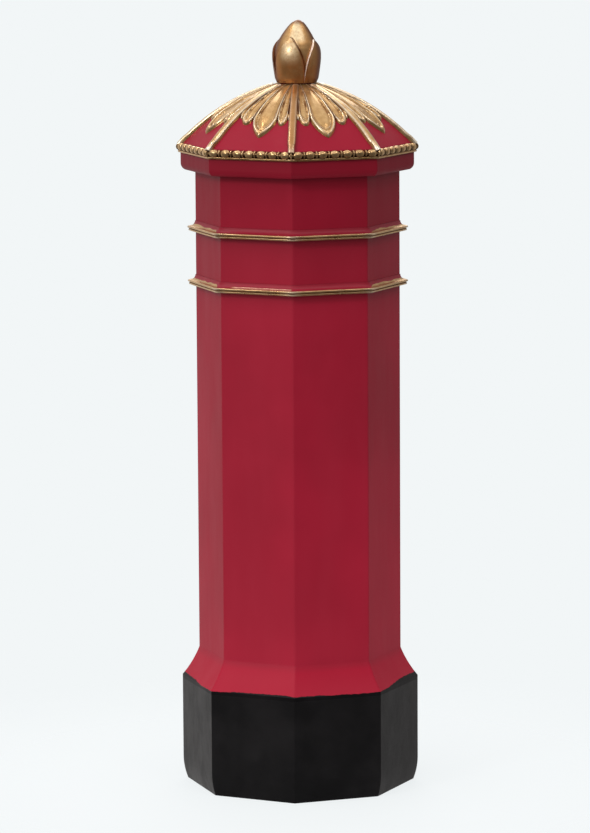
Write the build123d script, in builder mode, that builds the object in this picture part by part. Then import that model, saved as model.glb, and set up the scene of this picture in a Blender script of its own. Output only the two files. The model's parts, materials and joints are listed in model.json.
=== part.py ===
from build123d import *

import os
from math import cos, hypot, pi, radians, sin, sqrt, tan

# Octagonal cast-iron pillar mailbox with a domed roof and a bud finial.
# Millimetres, +Z up. The origin is the centre of the plinth's underside. The posting
# slot and the door face -Y. Eight flat faces look along X, Y and their diagonals.
# Radial sizes are apothems (axis to a flat face) unless a name says corner.

os.makedirs("parts", exist_ok=True)

# ---------------------------------------------------------------- driving dimensions
TOTAL_HEIGHT = 1650.0
CORNER_TO_FLAT = cos(pi / 8)        # apothem over corner radius of an octagon

WALL = 10.0                         # thickness of the iron castings
SHAFT = 202.3                       # apothem of the plain shaft
BORE = SHAFT - WALL                 # apothem of the space inside the shaft
FLANGE_BORE = 168.0                 # apothem inside the bolting flanges
CORNER_ROUND = 3.0                  # rounding of the shaft's upright corners

PLINTH = 236.5                      # apothem of the plinth
PLINTH_FOOT = 227.5                 # apothem of its pulled-in bottom edge
PLINTH_TOP = 222.0
FLARE_TOP = 292.0                   # height where the skirt meets the shaft
GROUND_FLANGE_BORE = 138.0
GROUND_FLANGE = 14.0                # its thickness
ANCHOR_PITCH = 240.0                # square of ground anchor holes
ANCHOR_HOLE = 9.0                   # their radius

LOWER_RING_BASE = 1083.0            # underside of each ring moulding
UPPER_RING_BASE = 1199.0
RING = 219.0                        # apothem of a ring's gold edge
RING_EDGE = 11.0                    # height of that edge
RING_COVE = 23.0                    # top of the cove above the underside

HEAD_BASE = 1212.0                  # joint between column and head, behind the ring
HEAD_TOP = 1331.0
CORNICE = 231.0
CORNICE_TOP = 1368.0
BEAD = 241.3                        # apothem over the beads
BEAD_TOP = 1388.0
ROOF_RIM = 228.0
ROOF_TOP = 1517.0
ROOF_WALL = 8.0
ROOF_MIDDLE = (155.0, 1455.0)       # point halfway up the roof's curve, apothem and height
ROOF_CROWN = 34.0                   # apothem of the flat seat under the bud
CROWN_DEPTH = 24.0                  # thickness of the roof at that seat
RIB_TOP = (52.0, 1516.5)            # upper end of a rib, corner radius and height
RIB_MIDDLE = (171.0, 1459.5)        # a point halfway along its back
RIB_WIDTH = 12.0

FLANGE = 12.0                       # thickness of the bolting flanges
BOLT = 5.0                          # radius of the flange bolts (M10)
BOLT_CIRCLE = 180.5                 # apothem of the flange bolts

DOOR_BASE = 312.0                   # lower edge of the door opening
DOOR_TOP = 1072.0
DOOR_GAP = 1.5
SEAM_Y = -88.8                      # upright plane of the door's two side joints
DOOR_SWING_GAP = 0.3                # between the shut door and its stop

HINGE_PROUD = 3.0                   # hinge axis outside the door's face
HINGE_HEIGHTS = (430.0, 950.0)
KNUCKLE = 8.0
HINGE_PIN = 4.0
RUNNING_FIT = 0.05                  # radial clearance of pins and spindles
LEAF = 4.0                          # thickness of the hinge leaves
LEAF_HALF = 21.0                    # half their height
PIN_HEAD = 3.0                      # height of the pin's head above the top knuckle
MID_KNUCKLE = 6.8                   # half height of the door's knuckle
KNUCKLE_GAP = 0.3

LOCK_Z = 760.0
LOCK_X = -10.0                      # keyhole from the middle of its face, towards the front
LOCK_BACK = 168.0                   # apothem of the lock case's back

SLOT_Z = 1276.0
SLOT_WIDTH = 116.0
SLOT_HEIGHT = 30.0
HOOD_WIDTH = 152.0                  # plate round the posting slot
HOOD_HEIGHT = 64.0
HOOD_PLATE = 7.0
HOOD_REACH = 26.0                   # how far its eyebrow stands out
FLAP_PIVOT_Z = 1300.0
FLAP_PIVOT = 183.0                  # distance of the flap rod in front of the axis

GUARD_Y = -56.0                     # plane of the mail guard
GUARD_BASE = 331.0
GUARD_HEIGHT = 500.0
GUARD_HALF = 187.0

FRONT = Plane.XZ                    # the front face looks along -Y
LOCK_FACE = Plane(origin=(0, 0, 0), x_dir=(1, -1, 0), z_dir=(-1, -1, 0))
HINGE_FACE_OUT = Vector(1, -1, 0).normalized()
HINGE_FACE_RUN = Vector(-1, -1, 0).normalized()
# where the outer face beside the hinge meets the seam, then the axis proud of it
HINGE_SEAM = Vector(SHAFT * sqrt(2) + SEAM_Y, SEAM_Y, 0)
HINGE_AXIS = HINGE_SEAM + HINGE_FACE_OUT * HINGE_PROUD
HINGE_PLANE = Plane(origin=HINGE_AXIS, x_dir=(0, 1, 0), z_dir=(0, 0, 1))
DOOR_LEAF_PLANE = Plane(origin=HINGE_AXIS, x_dir=HINGE_FACE_RUN, z_dir=(0, 0, 1))

ANCHOR_POINTS = [
    (x * ANCHOR_PITCH / 2, y * ANCHOR_PITCH / 2) for x in (-1, 1) for y in (-1, 1)
]


def face_points(apothem, turns):
    """Points halfway along octagon faces; turn 0 is the +X face, each turn 45 degrees."""
    return [
        (apothem * cos(radians(45 * turn)), apothem * sin(radians(45 * turn)))
        for turn in turns
    ]


# ---------------------------------------------------------------- places of fasteners
BASE_BOLT_POINTS = face_points(BOLT_CIRCLE, (0, 1, 2, 3, 4, 5, 6, 7))
HEAD_BOLT_POINTS = face_points(BOLT_CIRCLE, (0, 1, 2, 3, 4, 5, 7))
ROOF_BOLT_POINTS = face_points(BOLT_CIRCLE + 12, (0, 2, 4, 6))
FLOOR_SCREW_POINTS = [(x * 160, y * 66) for x in (-1, 1) for y in (-1, 1)]
SLOT_SCREW_POINTS = [(x * 70, SLOT_Z + y * 20) for x in (-1, 1) for y in (-1, 1)]
CHUTE_HALF = 63.0
CHUTE_END = -44.0                   # plane where the chute lets a letter go
CHUTE_LIP = 1152.5                  # height of its floor there
FLAP_ROD = 3.0
STUD = 8.0
BUD_FOOT = 49.0
# one side of a leaf as (distance from the axis, half width): side lobe, notch, then tongue
LEAF_OUTLINE = [(34, 10), (70, 24), (110, 39), (148, 51), (170, 53), (178, 42), (176, 29), (193, 22)]
LEAF_TIP = 204.0
LEAF_LIFT = 5.0                     # how far a leaf stands off the roof

FRAME_INNER = 187.0
FRAME_SCREW_Y = -73.6
FRAME_SCREW_HEIGHTS = (340.0, 560.0, 830.0, 1045.0)
CHANNEL_HEIGHT = 770.0
CHANNEL_SCREW_HEIGHTS = (380.0, 715.0, 1060.0)
HANDLE_Z = GUARD_BASE + GUARD_HEIGHT - 6

SPINDLE = 7.0
ESCUTCHEON = 3.0
LOCK_BOLT_BACK = 172.0
LOCK_BOLT_DEPTH = 9.5
LOCK_BOLT_HEIGHT = 24.0
LOCK_BOLT_TIP = LOCK_X - 37.0
COVER_PIVOT_POINT = (LOCK_X, LOCK_Z + 28)
ESCUTCHEON_SCREW_POINTS = [(LOCK_X, LOCK_Z - 27), (LOCK_X, LOCK_Z + 40)]
LOCK_CORNERS = [(x * 30, y * 44) for x in (-1, 1) for y in (-1, 1)]
LOCK_SCREW_POINTS = [(LOCK_X + x * 30, LOCK_Z + y * 44) for x in (-1, 1) for y in (-1, 1)]
KEEPER_SCREW_POINTS = [(-64, LOCK_Z - 23), (-64, LOCK_Z + 23)]

NOTICE_Z = 935.0
NOTICE_SCREW_POINTS = [(x * 57, NOTICE_Z + y * 77) for x in (-1, 1) for y in (-1, 1)]
TABLET_Z = 760.0
HOLDER_SCREW_POINTS = [(-38.5, TABLET_Z), (38.5, TABLET_Z)]


# ---------------------------------------------------------------- shared helpers
def octagon_path(apothem):
    """Closed octagon round the axis, begun halfway along the +X face."""
    half_side = apothem * tan(pi / 8)
    corners = [
        Vector(apothem, half_side).rotate(Axis.Z, 45 * turn) for turn in range(8)
    ]
    with BuildLine() as path:
        Polyline((apothem, 0), *corners, close=True)
    return path.wire()


def round_corners(casting, beyond, radius=CORNER_ROUND):
    """Round the corner edges that lie further than `beyond` from the axis."""
    corners = casting.edges().filter_by(
        lambda edge: abs((edge @ 0).Z - (edge @ 1).Z) > 1
        and hypot(edge.center().X, edge.center().Y) > beyond
    )
    fillet(corners, radius)


def bolts(points, seat, length, radius=BOLT):
    """Hexagon bolts with their heads on the plane z=seat and shanks below it."""
    with BuildPart() as group:
        with BuildSketch(Plane.XY.offset(seat)):
            with Locations(*points):
                RegularPolygon(radius * 1.8, 6)
        extrude(amount=radius * 1.3)
        with BuildSketch(Plane.XY.offset(seat)):
            with Locations(*points):
                Circle(radius)
        extrude(amount=-length)
    return group


def nuts(points, seat, radius=BOLT):
    """Hexagon nuts and washers hanging under the plane z=seat."""
    with BuildPart() as group:
        with BuildSketch(Plane.XY.offset(seat)):
            with Locations(*points):
                Circle(radius * 2.1)
                Circle(radius + RUNNING_FIT, mode=Mode.SUBTRACT)
        extrude(amount=-1.5)
        with BuildSketch(Plane.XY.offset(seat - 1.5)):
            with Locations(*points):
                RegularPolygon(radius * 1.8, 6)
                Circle(radius + RUNNING_FIT, mode=Mode.SUBTRACT)
        extrude(amount=-radius * 1.6)
    return group


def round_head_screws(plane, points, shank, depth, head, head_height):
    """Round-head screws with their heads standing on a plane and shanks behind it."""
    with BuildPart() as group:
        with BuildSketch(plane):
            with Locations(*points):
                Circle(head)
        extrude(amount=head_height)
        crowns = group.faces().group_by(Axis(plane.origin, plane.z_dir))[-1]
        fillet(crowns.edges(), head_height * 0.6)
        with BuildSketch(plane):
            with Locations(*points):
                Circle(shank)
        extrude(amount=-depth)
    return group


def save(builder, name):
    """Label a finished piece and write it to its own STEP file."""
    builder.part.label = name
    export_step(builder.part, f"parts/{name}.step")


# ---------------------------------------------------------------- base
def make_plinth():
    with BuildPart() as plinth:
        with BuildSketch(Plane.XZ):
            with BuildLine():
                Line((GROUND_FLANGE_BORE, 0), (PLINTH_FOOT, 0))
                TangentArc((PLINTH, 50), (PLINTH_FOOT, 0), tangent=(0, -1))
                Polyline(
                    (PLINTH, 50),
                    (PLINTH, PLINTH_TOP),
                    (FLANGE_BORE, PLINTH_TOP),
                    (FLANGE_BORE, PLINTH_TOP - FLANGE),
                    (PLINTH - WALL - 2, PLINTH_TOP - FLANGE),
                    (PLINTH - WALL - 2, GROUND_FLANGE),
                    (GROUND_FLANGE_BORE, GROUND_FLANGE),
                    (GROUND_FLANGE_BORE, 0),
                )
            make_face()
        sweep(path=octagon_path(SHAFT), transition=Transition.RIGHT)
        round_corners(plinth, PLINTH / CORNER_TO_FLAT - 6)
        with BuildSketch(Plane.XY):
            with Locations(*ANCHOR_POINTS):
                Circle(ANCHOR_HOLE)
        extrude(amount=GROUND_FLANGE, mode=Mode.SUBTRACT)
        with BuildSketch(Plane.XY.offset(PLINTH_TOP)):
            with Locations(*BASE_BOLT_POINTS):
                Circle(BOLT + 0.5)
        extrude(amount=-FLANGE, mode=Mode.SUBTRACT)
    return plinth


# ---------------------------------------------------------------- column and mouldings
def make_column():
    with BuildPart() as column:
        with BuildSketch(Plane.XZ):
            with BuildLine():
                Polyline(
                    (BORE, PLINTH_TOP + FLANGE),
                    (FLANGE_BORE, PLINTH_TOP + FLANGE),
                    (FLANGE_BORE, PLINTH_TOP),
                    (PLINTH, PLINTH_TOP),
                    (PLINTH, PLINTH_TOP + 8),
                )
                ThreePointArc(
                    (PLINTH, PLINTH_TOP + 8), (SHAFT + 14, 261), (SHAFT, FLARE_TOP)
                )
                Polyline(
                    (SHAFT, FLARE_TOP),
                    (SHAFT, HEAD_BASE),
                    (FLANGE_BORE, HEAD_BASE),
                    (FLANGE_BORE, HEAD_BASE - FLANGE),
                    (BORE, HEAD_BASE - FLANGE),
                    (BORE, PLINTH_TOP + FLANGE),
                )
            make_face()
        sweep(path=octagon_path(SHAFT), transition=Transition.RIGHT)
        round_corners(column, SHAFT + 8)
        # bolt holes in both flanges, and tapped holes for the floor plate
        with BuildSketch(Plane.XY.offset(PLINTH_TOP)):
            with Locations(*BASE_BOLT_POINTS):
                Circle(BOLT + 0.5)
        extrude(amount=FLANGE, mode=Mode.SUBTRACT)
        with BuildSketch(Plane.XY.offset(HEAD_BASE)):
            with Locations(*HEAD_BOLT_POINTS):
                Circle(BOLT + 0.5)
        extrude(amount=-FLANGE, mode=Mode.SUBTRACT)
        with BuildSketch(Plane.XY.offset(PLINTH_TOP + FLANGE)):
            with Locations(*FLOOR_SCREW_POINTS):
                Circle(3)
        extrude(amount=-8, mode=Mode.SUBTRACT)
        # door opening across the three front faces
        with BuildSketch(Plane.XY.offset(DOOR_BASE)):
            with Locations((0, SEAM_Y + DOOR_GAP / 2)):
                Rectangle(500, 200, align=(Align.CENTER, Align.MAX))
        extrude(amount=DOOR_TOP - DOOR_BASE, mode=Mode.SUBTRACT)
        # seats of the hinges
        for height in HINGE_HEIGHTS:
            with BuildSketch(HINGE_PLANE.offset(height - LEAF_HALF)):
                Circle(KNUCKLE + 0.5)
            extrude(amount=2 * LEAF_HALF + PIN_HEAD + 0.5, mode=Mode.SUBTRACT)
            with BuildSketch(Plane.XY.offset(height - LEAF_HALF)):
                with Locations((SHAFT, HINGE_AXIS.Y)):
                    Rectangle(2 * LEAF, 42, align=(Align.CENTER, Align.MIN))
            extrude(amount=2 * LEAF_HALF, mode=Mode.SUBTRACT)
            with BuildSketch(Plane.YZ.offset(SHAFT - LEAF)):
                with Locations(*body_leaf_screw_points(height)):
                    Circle(2.5)
            extrude(amount=-5, mode=Mode.SUBTRACT)
        # blind holes behind the guard channels
        for side in (-1, 1):
            with BuildSketch(Plane.YZ.offset(side * BORE)):
                with Locations(*[(GUARD_Y, z) for z in CHANNEL_SCREW_HEIGHTS]):
                    Circle(2.5)
            extrude(amount=side * 6, mode=Mode.SUBTRACT)
        # tapped holes of the door stop frame
        with BuildSketch(Plane.YZ.offset(BORE)):
            with Locations(*[(FRAME_SCREW_Y, z) for z in FRAME_SCREW_HEIGHTS]):
                Circle(2)
        extrude(amount=6, mode=Mode.SUBTRACT)
        with BuildSketch(Plane.YZ.offset(-BORE)):
            with Locations(*[(FRAME_SCREW_Y, z) for z in FRAME_SCREW_HEIGHTS]):
                Circle(2)
        extrude(amount=-6, mode=Mode.SUBTRACT)
    return column


def make_ring(base):
    """Moulding round the shaft: sharp underside, upright edge, cove back to the shaft."""
    with BuildPart() as ring:
        with BuildSketch(Plane.XZ):
            with BuildLine():
                Polyline(
                    (SHAFT, base + RING_COVE),
                    (SHAFT, base),
                    (RING - 1.5, base),
                    (RING, base + 1.5),
                    (RING, base + RING_EDGE),
                )
                ThreePointArc(
                    (RING, base + RING_EDGE),
                    (SHAFT + 5.5, base + RING_EDGE + 3.5),
                    (SHAFT, base + RING_COVE),
                )
            make_face()
        sweep(path=octagon_path(SHAFT), transition=Transition.RIGHT)
    return ring


# ---------------------------------------------------------------- head and roof
def make_head():
    with BuildPart() as head:
        with BuildSketch(Plane.XZ):
            Polygon(
                (SHAFT, HEAD_BASE),
                (SHAFT, HEAD_TOP),
                (FLANGE_BORE, HEAD_TOP),
                (FLANGE_BORE, HEAD_TOP - FLANGE),
                (BORE, HEAD_TOP - FLANGE),
                (BORE, HEAD_BASE + FLANGE),
                (FLANGE_BORE, HEAD_BASE + FLANGE),
                (FLANGE_BORE, HEAD_BASE),
                align=None,
            )
        sweep(path=octagon_path(SHAFT), transition=Transition.RIGHT)
        round_corners(head, SHAFT + 8)
        with BuildSketch(Plane.XY.offset(HEAD_BASE)):
            with Locations(*HEAD_BOLT_POINTS):
                Circle(BOLT + 0.5)
        extrude(amount=FLANGE, mode=Mode.SUBTRACT)
        with BuildSketch(Plane.XY.offset(HEAD_TOP)):
            with Locations(*HEAD_BOLT_POINTS):
                Circle(BOLT + 0.5)
        extrude(amount=-FLANGE, mode=Mode.SUBTRACT)
        # posting slot and the four screws of its hood
        with BuildSketch(FRONT.offset(SHAFT + 1)):
            with Locations((0, SLOT_Z)):
                RectangleRounded(SLOT_WIDTH, SLOT_HEIGHT, 3)
            with Locations(*SLOT_SCREW_POINTS):
                Circle(3.2)
        extrude(amount=-(WALL + 2), mode=Mode.SUBTRACT)
    return head


def make_cornice():
    """Channel-shaped band, open inwards, with a rounded lower edge."""
    inner_wall = CORNICE - WALL - 2
    with BuildPart() as cornice:
        with BuildSketch(Plane.XZ):
            with BuildLine():
                Line((FLANGE_BORE, HEAD_TOP), (CORNICE - 8, HEAD_TOP))
                TangentArc((CORNICE, HEAD_TOP + 14), (CORNICE - 8, HEAD_TOP), tangent=(0, -1))
                Polyline(
                    (CORNICE, HEAD_TOP + 14),
                    (CORNICE, CORNICE_TOP),
                    (FLANGE_BORE, CORNICE_TOP),
                    (FLANGE_BORE, CORNICE_TOP - 8),
                    (inner_wall, CORNICE_TOP - 8),
                    (inner_wall, HEAD_TOP + 8),
                    (FLANGE_BORE, HEAD_TOP + 8),
                    (FLANGE_BORE, HEAD_TOP),
                )
            make_face()
        sweep(path=octagon_path(SHAFT), transition=Transition.RIGHT)
        for height in (HEAD_TOP, CORNICE_TOP - 8):
            with BuildSketch(Plane.XY.offset(height)):
                with Locations(*(HEAD_BOLT_POINTS if height == HEAD_TOP else ROOF_BOLT_POINTS)):
                    Circle(BOLT + 0.5)
            extrude(amount=8, mode=Mode.SUBTRACT)
    return cornice


def make_bead_moulding():
    """Half-round bar under the roof's edge."""
    with BuildPart() as moulding:
        with BuildSketch(Plane.XZ):
            with BuildLine():
                Polyline(
                    (BEAD - 9, BEAD_TOP),
                    (ROOF_RIM, BEAD_TOP),
                    (ROOF_RIM, CORNICE_TOP),
                    (BEAD - 9, CORNICE_TOP),
                )
                ThreePointArc(
                    (BEAD - 9, CORNICE_TOP),
                    (BEAD, (CORNICE_TOP + BEAD_TOP) / 2),
                    (BEAD - 9, BEAD_TOP),
                )
            make_face()
        sweep(path=octagon_path(SHAFT), transition=Transition.RIGHT)
    return moulding


def roof_arc(lift):
    """Outer curve of the roof from its foot to its crown, lifted outwards."""
    return (
        (ROOF_RIM + lift, BEAD_TOP + lift * 0.3),
        (ROOF_MIDDLE[0] + lift * 0.6, ROOF_MIDDLE[1] + lift * 0.8),
        (ROOF_CROWN, ROOF_TOP - 1 + lift),
    )


def make_roof():
    with BuildPart() as roof:
        with BuildSketch(Plane.XZ):
            with BuildLine():
                foot, middle, crown = roof_arc(0)
                inner_foot, inner_middle, inner_crown = roof_arc(-ROOF_WALL)
                ThreePointArc(foot, middle, crown)
                Polyline(crown, (ROOF_CROWN - 4, ROOF_TOP), (10, ROOF_TOP),
                         (10, ROOF_TOP - CROWN_DEPTH), (ROOF_CROWN, ROOF_TOP - CROWN_DEPTH),
                         inner_crown)
                ThreePointArc(inner_crown, inner_middle, inner_foot)
                Polyline(
                    inner_foot,
                    (ROOF_RIM - ROOF_WALL, CORNICE_TOP + 10),
                    (FLANGE_BORE, CORNICE_TOP + 10),
                    (FLANGE_BORE, CORNICE_TOP),
                    (ROOF_RIM, CORNICE_TOP),
                    foot,
                )
            make_face()
        sweep(path=octagon_path(SHAFT), transition=Transition.RIGHT)
        with BuildSketch(Plane.XY.offset(CORNICE_TOP)):
            with Locations(*ROOF_BOLT_POINTS):
                Circle(BOLT + 0.5)
        extrude(amount=10, mode=Mode.SUBTRACT)
    return roof


def make_roof_solid():
    """The roof's outer form without its hollow, for seating what lies on it."""
    with BuildPart() as solid:
        with BuildSketch(Plane.XZ):
            with BuildLine():
                foot, middle, crown = roof_arc(0)
                ThreePointArc(foot, middle, crown)
                Polyline(crown, (ROOF_CROWN - 4, ROOF_TOP), (1, ROOF_TOP), (1, CORNICE_TOP),
                         (ROOF_RIM, CORNICE_TOP), foot)
            make_face()
        sweep(path=octagon_path(SHAFT), transition=Transition.RIGHT)
        with BuildSketch(Plane.XY.offset(CORNICE_TOP)):
            Circle(20)
        extrude(amount=ROOF_TOP - CORNICE_TOP)
    return solid


def make_roof_ribs(roof_form):
    """Eight raised strips along the roof's corners."""
    foot_radius = BEAD / CORNER_TO_FLAT - 9
    with BuildPart() as ribs:
        for turn in range(8):
            corner_plane = Plane.XZ.rotated((0, 0, 22.5 + 45 * turn))
            with BuildSketch(corner_plane):
                with BuildLine():
                    ThreePointArc((foot_radius, BEAD_TOP + 4), RIB_MIDDLE, RIB_TOP)
                    Polyline(
                        RIB_TOP,
                        (RIB_TOP[0], ROOF_TOP - 27),
                        (150, BEAD_TOP + 12),
                        (ROOF_RIM, BEAD_TOP + 0.2),
                        (foot_radius, BEAD_TOP + 0.2),
                        (foot_radius, BEAD_TOP + 4),
                    )
                make_face()
            extrude(amount=RIB_WIDTH / 2, both=True)
        add(roof_form.part, mode=Mode.SUBTRACT)
    return ribs


def make_acanthus_leaves(roof_form, ribs):
    """Eight thick leaves lying between the ribs, radiating from the finial."""
    with BuildPart() as leaves:
        with BuildSketch(Plane.XZ):
            with BuildLine():
                foot, middle, crown = roof_arc(LEAF_LIFT)
                ThreePointArc(foot, middle, crown)
                Polyline(crown, (1, ROOF_TOP + LEAF_LIFT - 1), (1, CORNICE_TOP),
                         (ROOF_RIM, CORNICE_TOP), foot)
            make_face()
        sweep(path=octagon_path(SHAFT), transition=Transition.RIGHT)
        with BuildSketch(Plane.XY.offset(CORNICE_TOP)):
            for turn in range(8):
                angle = 45 * turn
                with BuildLine():
                    left = [
                        Vector(r, w).rotate(Axis.Z, angle) for r, w in LEAF_OUTLINE
                    ]
                    right = [
                        Vector(r, -w).rotate(Axis.Z, angle) for r, w in LEAF_OUTLINE
                    ]
                    Spline(*left, Vector(LEAF_TIP, 0).rotate(Axis.Z, angle),
                           *reversed(right))
                    Line(right[0], left[0])
                make_face()
        extrude(amount=200, mode=Mode.INTERSECT)
        add(roof_form.part, mode=Mode.SUBTRACT)
        add(ribs.part, mode=Mode.SUBTRACT)
        with BuildSketch(Plane.XY.offset(CORNICE_TOP)):
            Circle(BUD_FOOT + 0.4)
        extrude(amount=200, mode=Mode.SUBTRACT)
    return leaves


def make_finial_bud():
    """Solid of revolution with the bud's outline and a socket for its stud."""
    with BuildPart() as bud:
        with BuildSketch(Plane.XZ):
            with BuildLine():
                Spline(
                    (BUD_FOOT, ROOF_TOP + 0.3),
                    (52, 1562),
                    (49, 1594),
                    (32, 1619),
                    (13.5, 1643),
                    (0, TOTAL_HEIGHT),
                    tangents=((0.2, 1), (-1, 0.12)),
                )
                Polyline(
                    (0, TOTAL_HEIGHT),
                    (0, ROOF_TOP + 40),
                    (STUD, ROOF_TOP + 40),
                    (STUD, ROOF_TOP + 0.3),
                    (BUD_FOOT, ROOF_TOP + 0.3),
                )
            make_face()
        revolve(axis=Axis.Z)
    return bud


def make_finial_stud():
    with BuildPart() as stud:
        with BuildSketch(Plane.XY.offset(ROOF_TOP - 60)):
            Circle(STUD)
        extrude(amount=60 + 40)
        chamfer(stud.faces().sort_by(Axis.Z)[0].edges(), 1)
    return stud


# ---------------------------------------------------------------- posting slot
def make_slot_hood():
    face = FRONT.offset(SHAFT)
    with BuildPart() as hood:
        with BuildSketch(face):
            with Locations((0, SLOT_Z)):
                RectangleRounded(HOOD_WIDTH, HOOD_HEIGHT, 6)
                RectangleRounded(SLOT_WIDTH, SLOT_HEIGHT, 3, mode=Mode.SUBTRACT)
        extrude(amount=HOOD_PLATE)
        with BuildSketch(Plane.YZ):
            Polygon(
                (-SHAFT, SLOT_Z + 18),
                (-SHAFT - HOOD_REACH + 2, SLOT_Z + 16),
                (-SHAFT - HOOD_REACH, SLOT_Z + 20),
                (-SHAFT - HOOD_PLATE, SLOT_Z + 31),
                (-SHAFT, SLOT_Z + 31),
                align=None,
            )
        extrude(amount=SLOT_WIDTH / 2 + 5, both=True)
        with BuildSketch(face.offset(HOOD_PLATE)):
            with Locations(*SLOT_SCREW_POINTS):
                Circle(6.4)
        extrude(amount=40, mode=Mode.SUBTRACT)
        with BuildSketch(face):
            with Locations(*SLOT_SCREW_POINTS):
                Circle(3.2)
        extrude(amount=HOOD_PLATE, mode=Mode.SUBTRACT)
    return hood


def make_chute():
    """Sheet trough that carries letters from the slot to behind the mail guard."""
    wall_y = -BORE
    with BuildPart() as chute:
        with BuildSketch(Plane.YZ):
            Polygon(
                (wall_y, SLOT_Z - 22),
                (wall_y, SLOT_Z + 36),
                (-150, SLOT_Z + 36),
                (CHUTE_END, CHUTE_LIP + 52.5),
                (CHUTE_END, CHUTE_LIP - 2.5),
                align=None,
            )
        extrude(amount=CHUTE_HALF, both=True)
        with BuildSketch(Plane.YZ):
            Polygon(
                (wall_y - 1, SLOT_Z - 20),
                (wall_y - 1, SLOT_Z + 40),
                (CHUTE_END + 5, SLOT_Z + 40),
                (CHUTE_END + 5, CHUTE_LIP - 3.5),
                (CHUTE_END, CHUTE_LIP),
                align=None,
            )
        extrude(amount=CHUTE_HALF - 2, both=True, mode=Mode.SUBTRACT)
        with BuildSketch(FRONT.offset(BORE)):
            with Locations((0, SLOT_Z)):
                Rectangle(152, 62)
                Rectangle(2 * CHUTE_HALF, 62, mode=Mode.SUBTRACT)
        extrude(amount=-2)
        with BuildSketch(FRONT.offset(BORE)):
            with Locations(*SLOT_SCREW_POINTS):
                Circle(3.2)
        extrude(amount=-3, mode=Mode.SUBTRACT)
        with BuildSketch(Plane.YZ):
            with Locations((-FLAP_PIVOT, FLAP_PIVOT_Z)):
                Circle(FLAP_ROD)
        extrude(amount=CHUTE_HALF + 1, both=True, mode=Mode.SUBTRACT)
    return chute


def make_flap_rod():
    with BuildPart() as rod:
        with BuildSketch(Plane.YZ):
            with Locations((-FLAP_PIVOT, FLAP_PIVOT_Z)):
                Circle(FLAP_ROD)
        extrude(amount=CHUTE_HALF + 4, both=True)
        chamfer(rod.faces().filter_by(Axis.X).edges(), 0.6)
    return rod


def make_letter_flap():
    with BuildPart() as flap:
        with BuildSketch(Plane.YZ):
            with Locations((-FLAP_PIVOT, FLAP_PIVOT_Z)):
                Circle(5.5)
            with Locations((-FLAP_PIVOT, FLAP_PIVOT_Z)):
                Rectangle(2, 38, align=(Align.CENTER, Align.MAX))
            with Locations((-FLAP_PIVOT, FLAP_PIVOT_Z)):
                Circle(FLAP_ROD + RUNNING_FIT, mode=Mode.SUBTRACT)
        extrude(amount=CHUTE_HALF - 3, both=True)
    return flap


# ---------------------------------------------------------------- door and its frame
def make_door():
    with BuildPart() as door:
        with BuildSketch(Plane.XY.offset(DOOR_BASE + DOOR_GAP)):
            RegularPolygon(SHAFT, 8, major_radius=False, rotation=22.5)
            RegularPolygon(BORE, 8, major_radius=False, rotation=22.5, mode=Mode.SUBTRACT)
            with Locations((0, SEAM_Y - DOOR_GAP / 2)):
                Rectangle(500, 200, align=(Align.CENTER, Align.MAX), mode=Mode.INTERSECT)
        extrude(amount=DOOR_TOP - DOOR_BASE - 2 * DOOR_GAP)
        outer = door.edges().filter_by(Axis.Z).filter_by(
            lambda edge: abs(edge.center().X) < 100 and edge.center().Y < -SHAFT + 1
        )
        fillet(outer, CORNER_ROUND)
        # two stiffening ribs across the front panel
        with BuildSketch(FRONT.offset(BORE)):
            with Locations((0, 500), (0, 1030)):
                Rectangle(120, 8)
        extrude(amount=-12)
        # seats of the hinge leaves
        for height in HINGE_HEIGHTS:
            with BuildSketch(HINGE_PLANE.offset(height - LEAF_HALF)):
                Circle(KNUCKLE + 0.5)
            extrude(amount=2 * LEAF_HALF + PIN_HEAD + 0.5, mode=Mode.SUBTRACT)
            with BuildSketch(DOOR_LEAF_PLANE.offset(height - LEAF_HALF)):
                with Locations((0, -HINGE_PROUD - LEAF)):
                    Rectangle(42, LEAF + 1, align=(Align.MIN, Align.MIN))
            extrude(amount=2 * LEAF_HALF, mode=Mode.SUBTRACT)
            with BuildSketch(door_leaf_face(HINGE_PROUD + LEAF)):
                with Locations(*door_leaf_screw_points(height)):
                    Circle(2.5)
            extrude(amount=-5, mode=Mode.SUBTRACT)
        # keyhole spindle and small screws of the fittings
        with BuildSketch(LOCK_FACE.offset(SHAFT + 1)):
            with Locations((LOCK_X, LOCK_Z)):
                Circle(SPINDLE + RUNNING_FIT)
        extrude(amount=-(WALL + 2), mode=Mode.SUBTRACT)
        with BuildSketch(LOCK_FACE.offset(SHAFT)):
            with Locations(*ESCUTCHEON_SCREW_POINTS, COVER_PIVOT_POINT):
                Circle(1.5)
        extrude(amount=-6, mode=Mode.SUBTRACT)
        with BuildSketch(LOCK_FACE.offset(BORE)):
            with Locations(*LOCK_SCREW_POINTS):
                Circle(2.5)
        extrude(amount=6, mode=Mode.SUBTRACT)
        with BuildSketch(FRONT.offset(SHAFT)):
            with Locations(*NOTICE_SCREW_POINTS, *HOLDER_SCREW_POINTS):
                Circle(2)
        extrude(amount=-6, mode=Mode.SUBTRACT)
    return door


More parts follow.
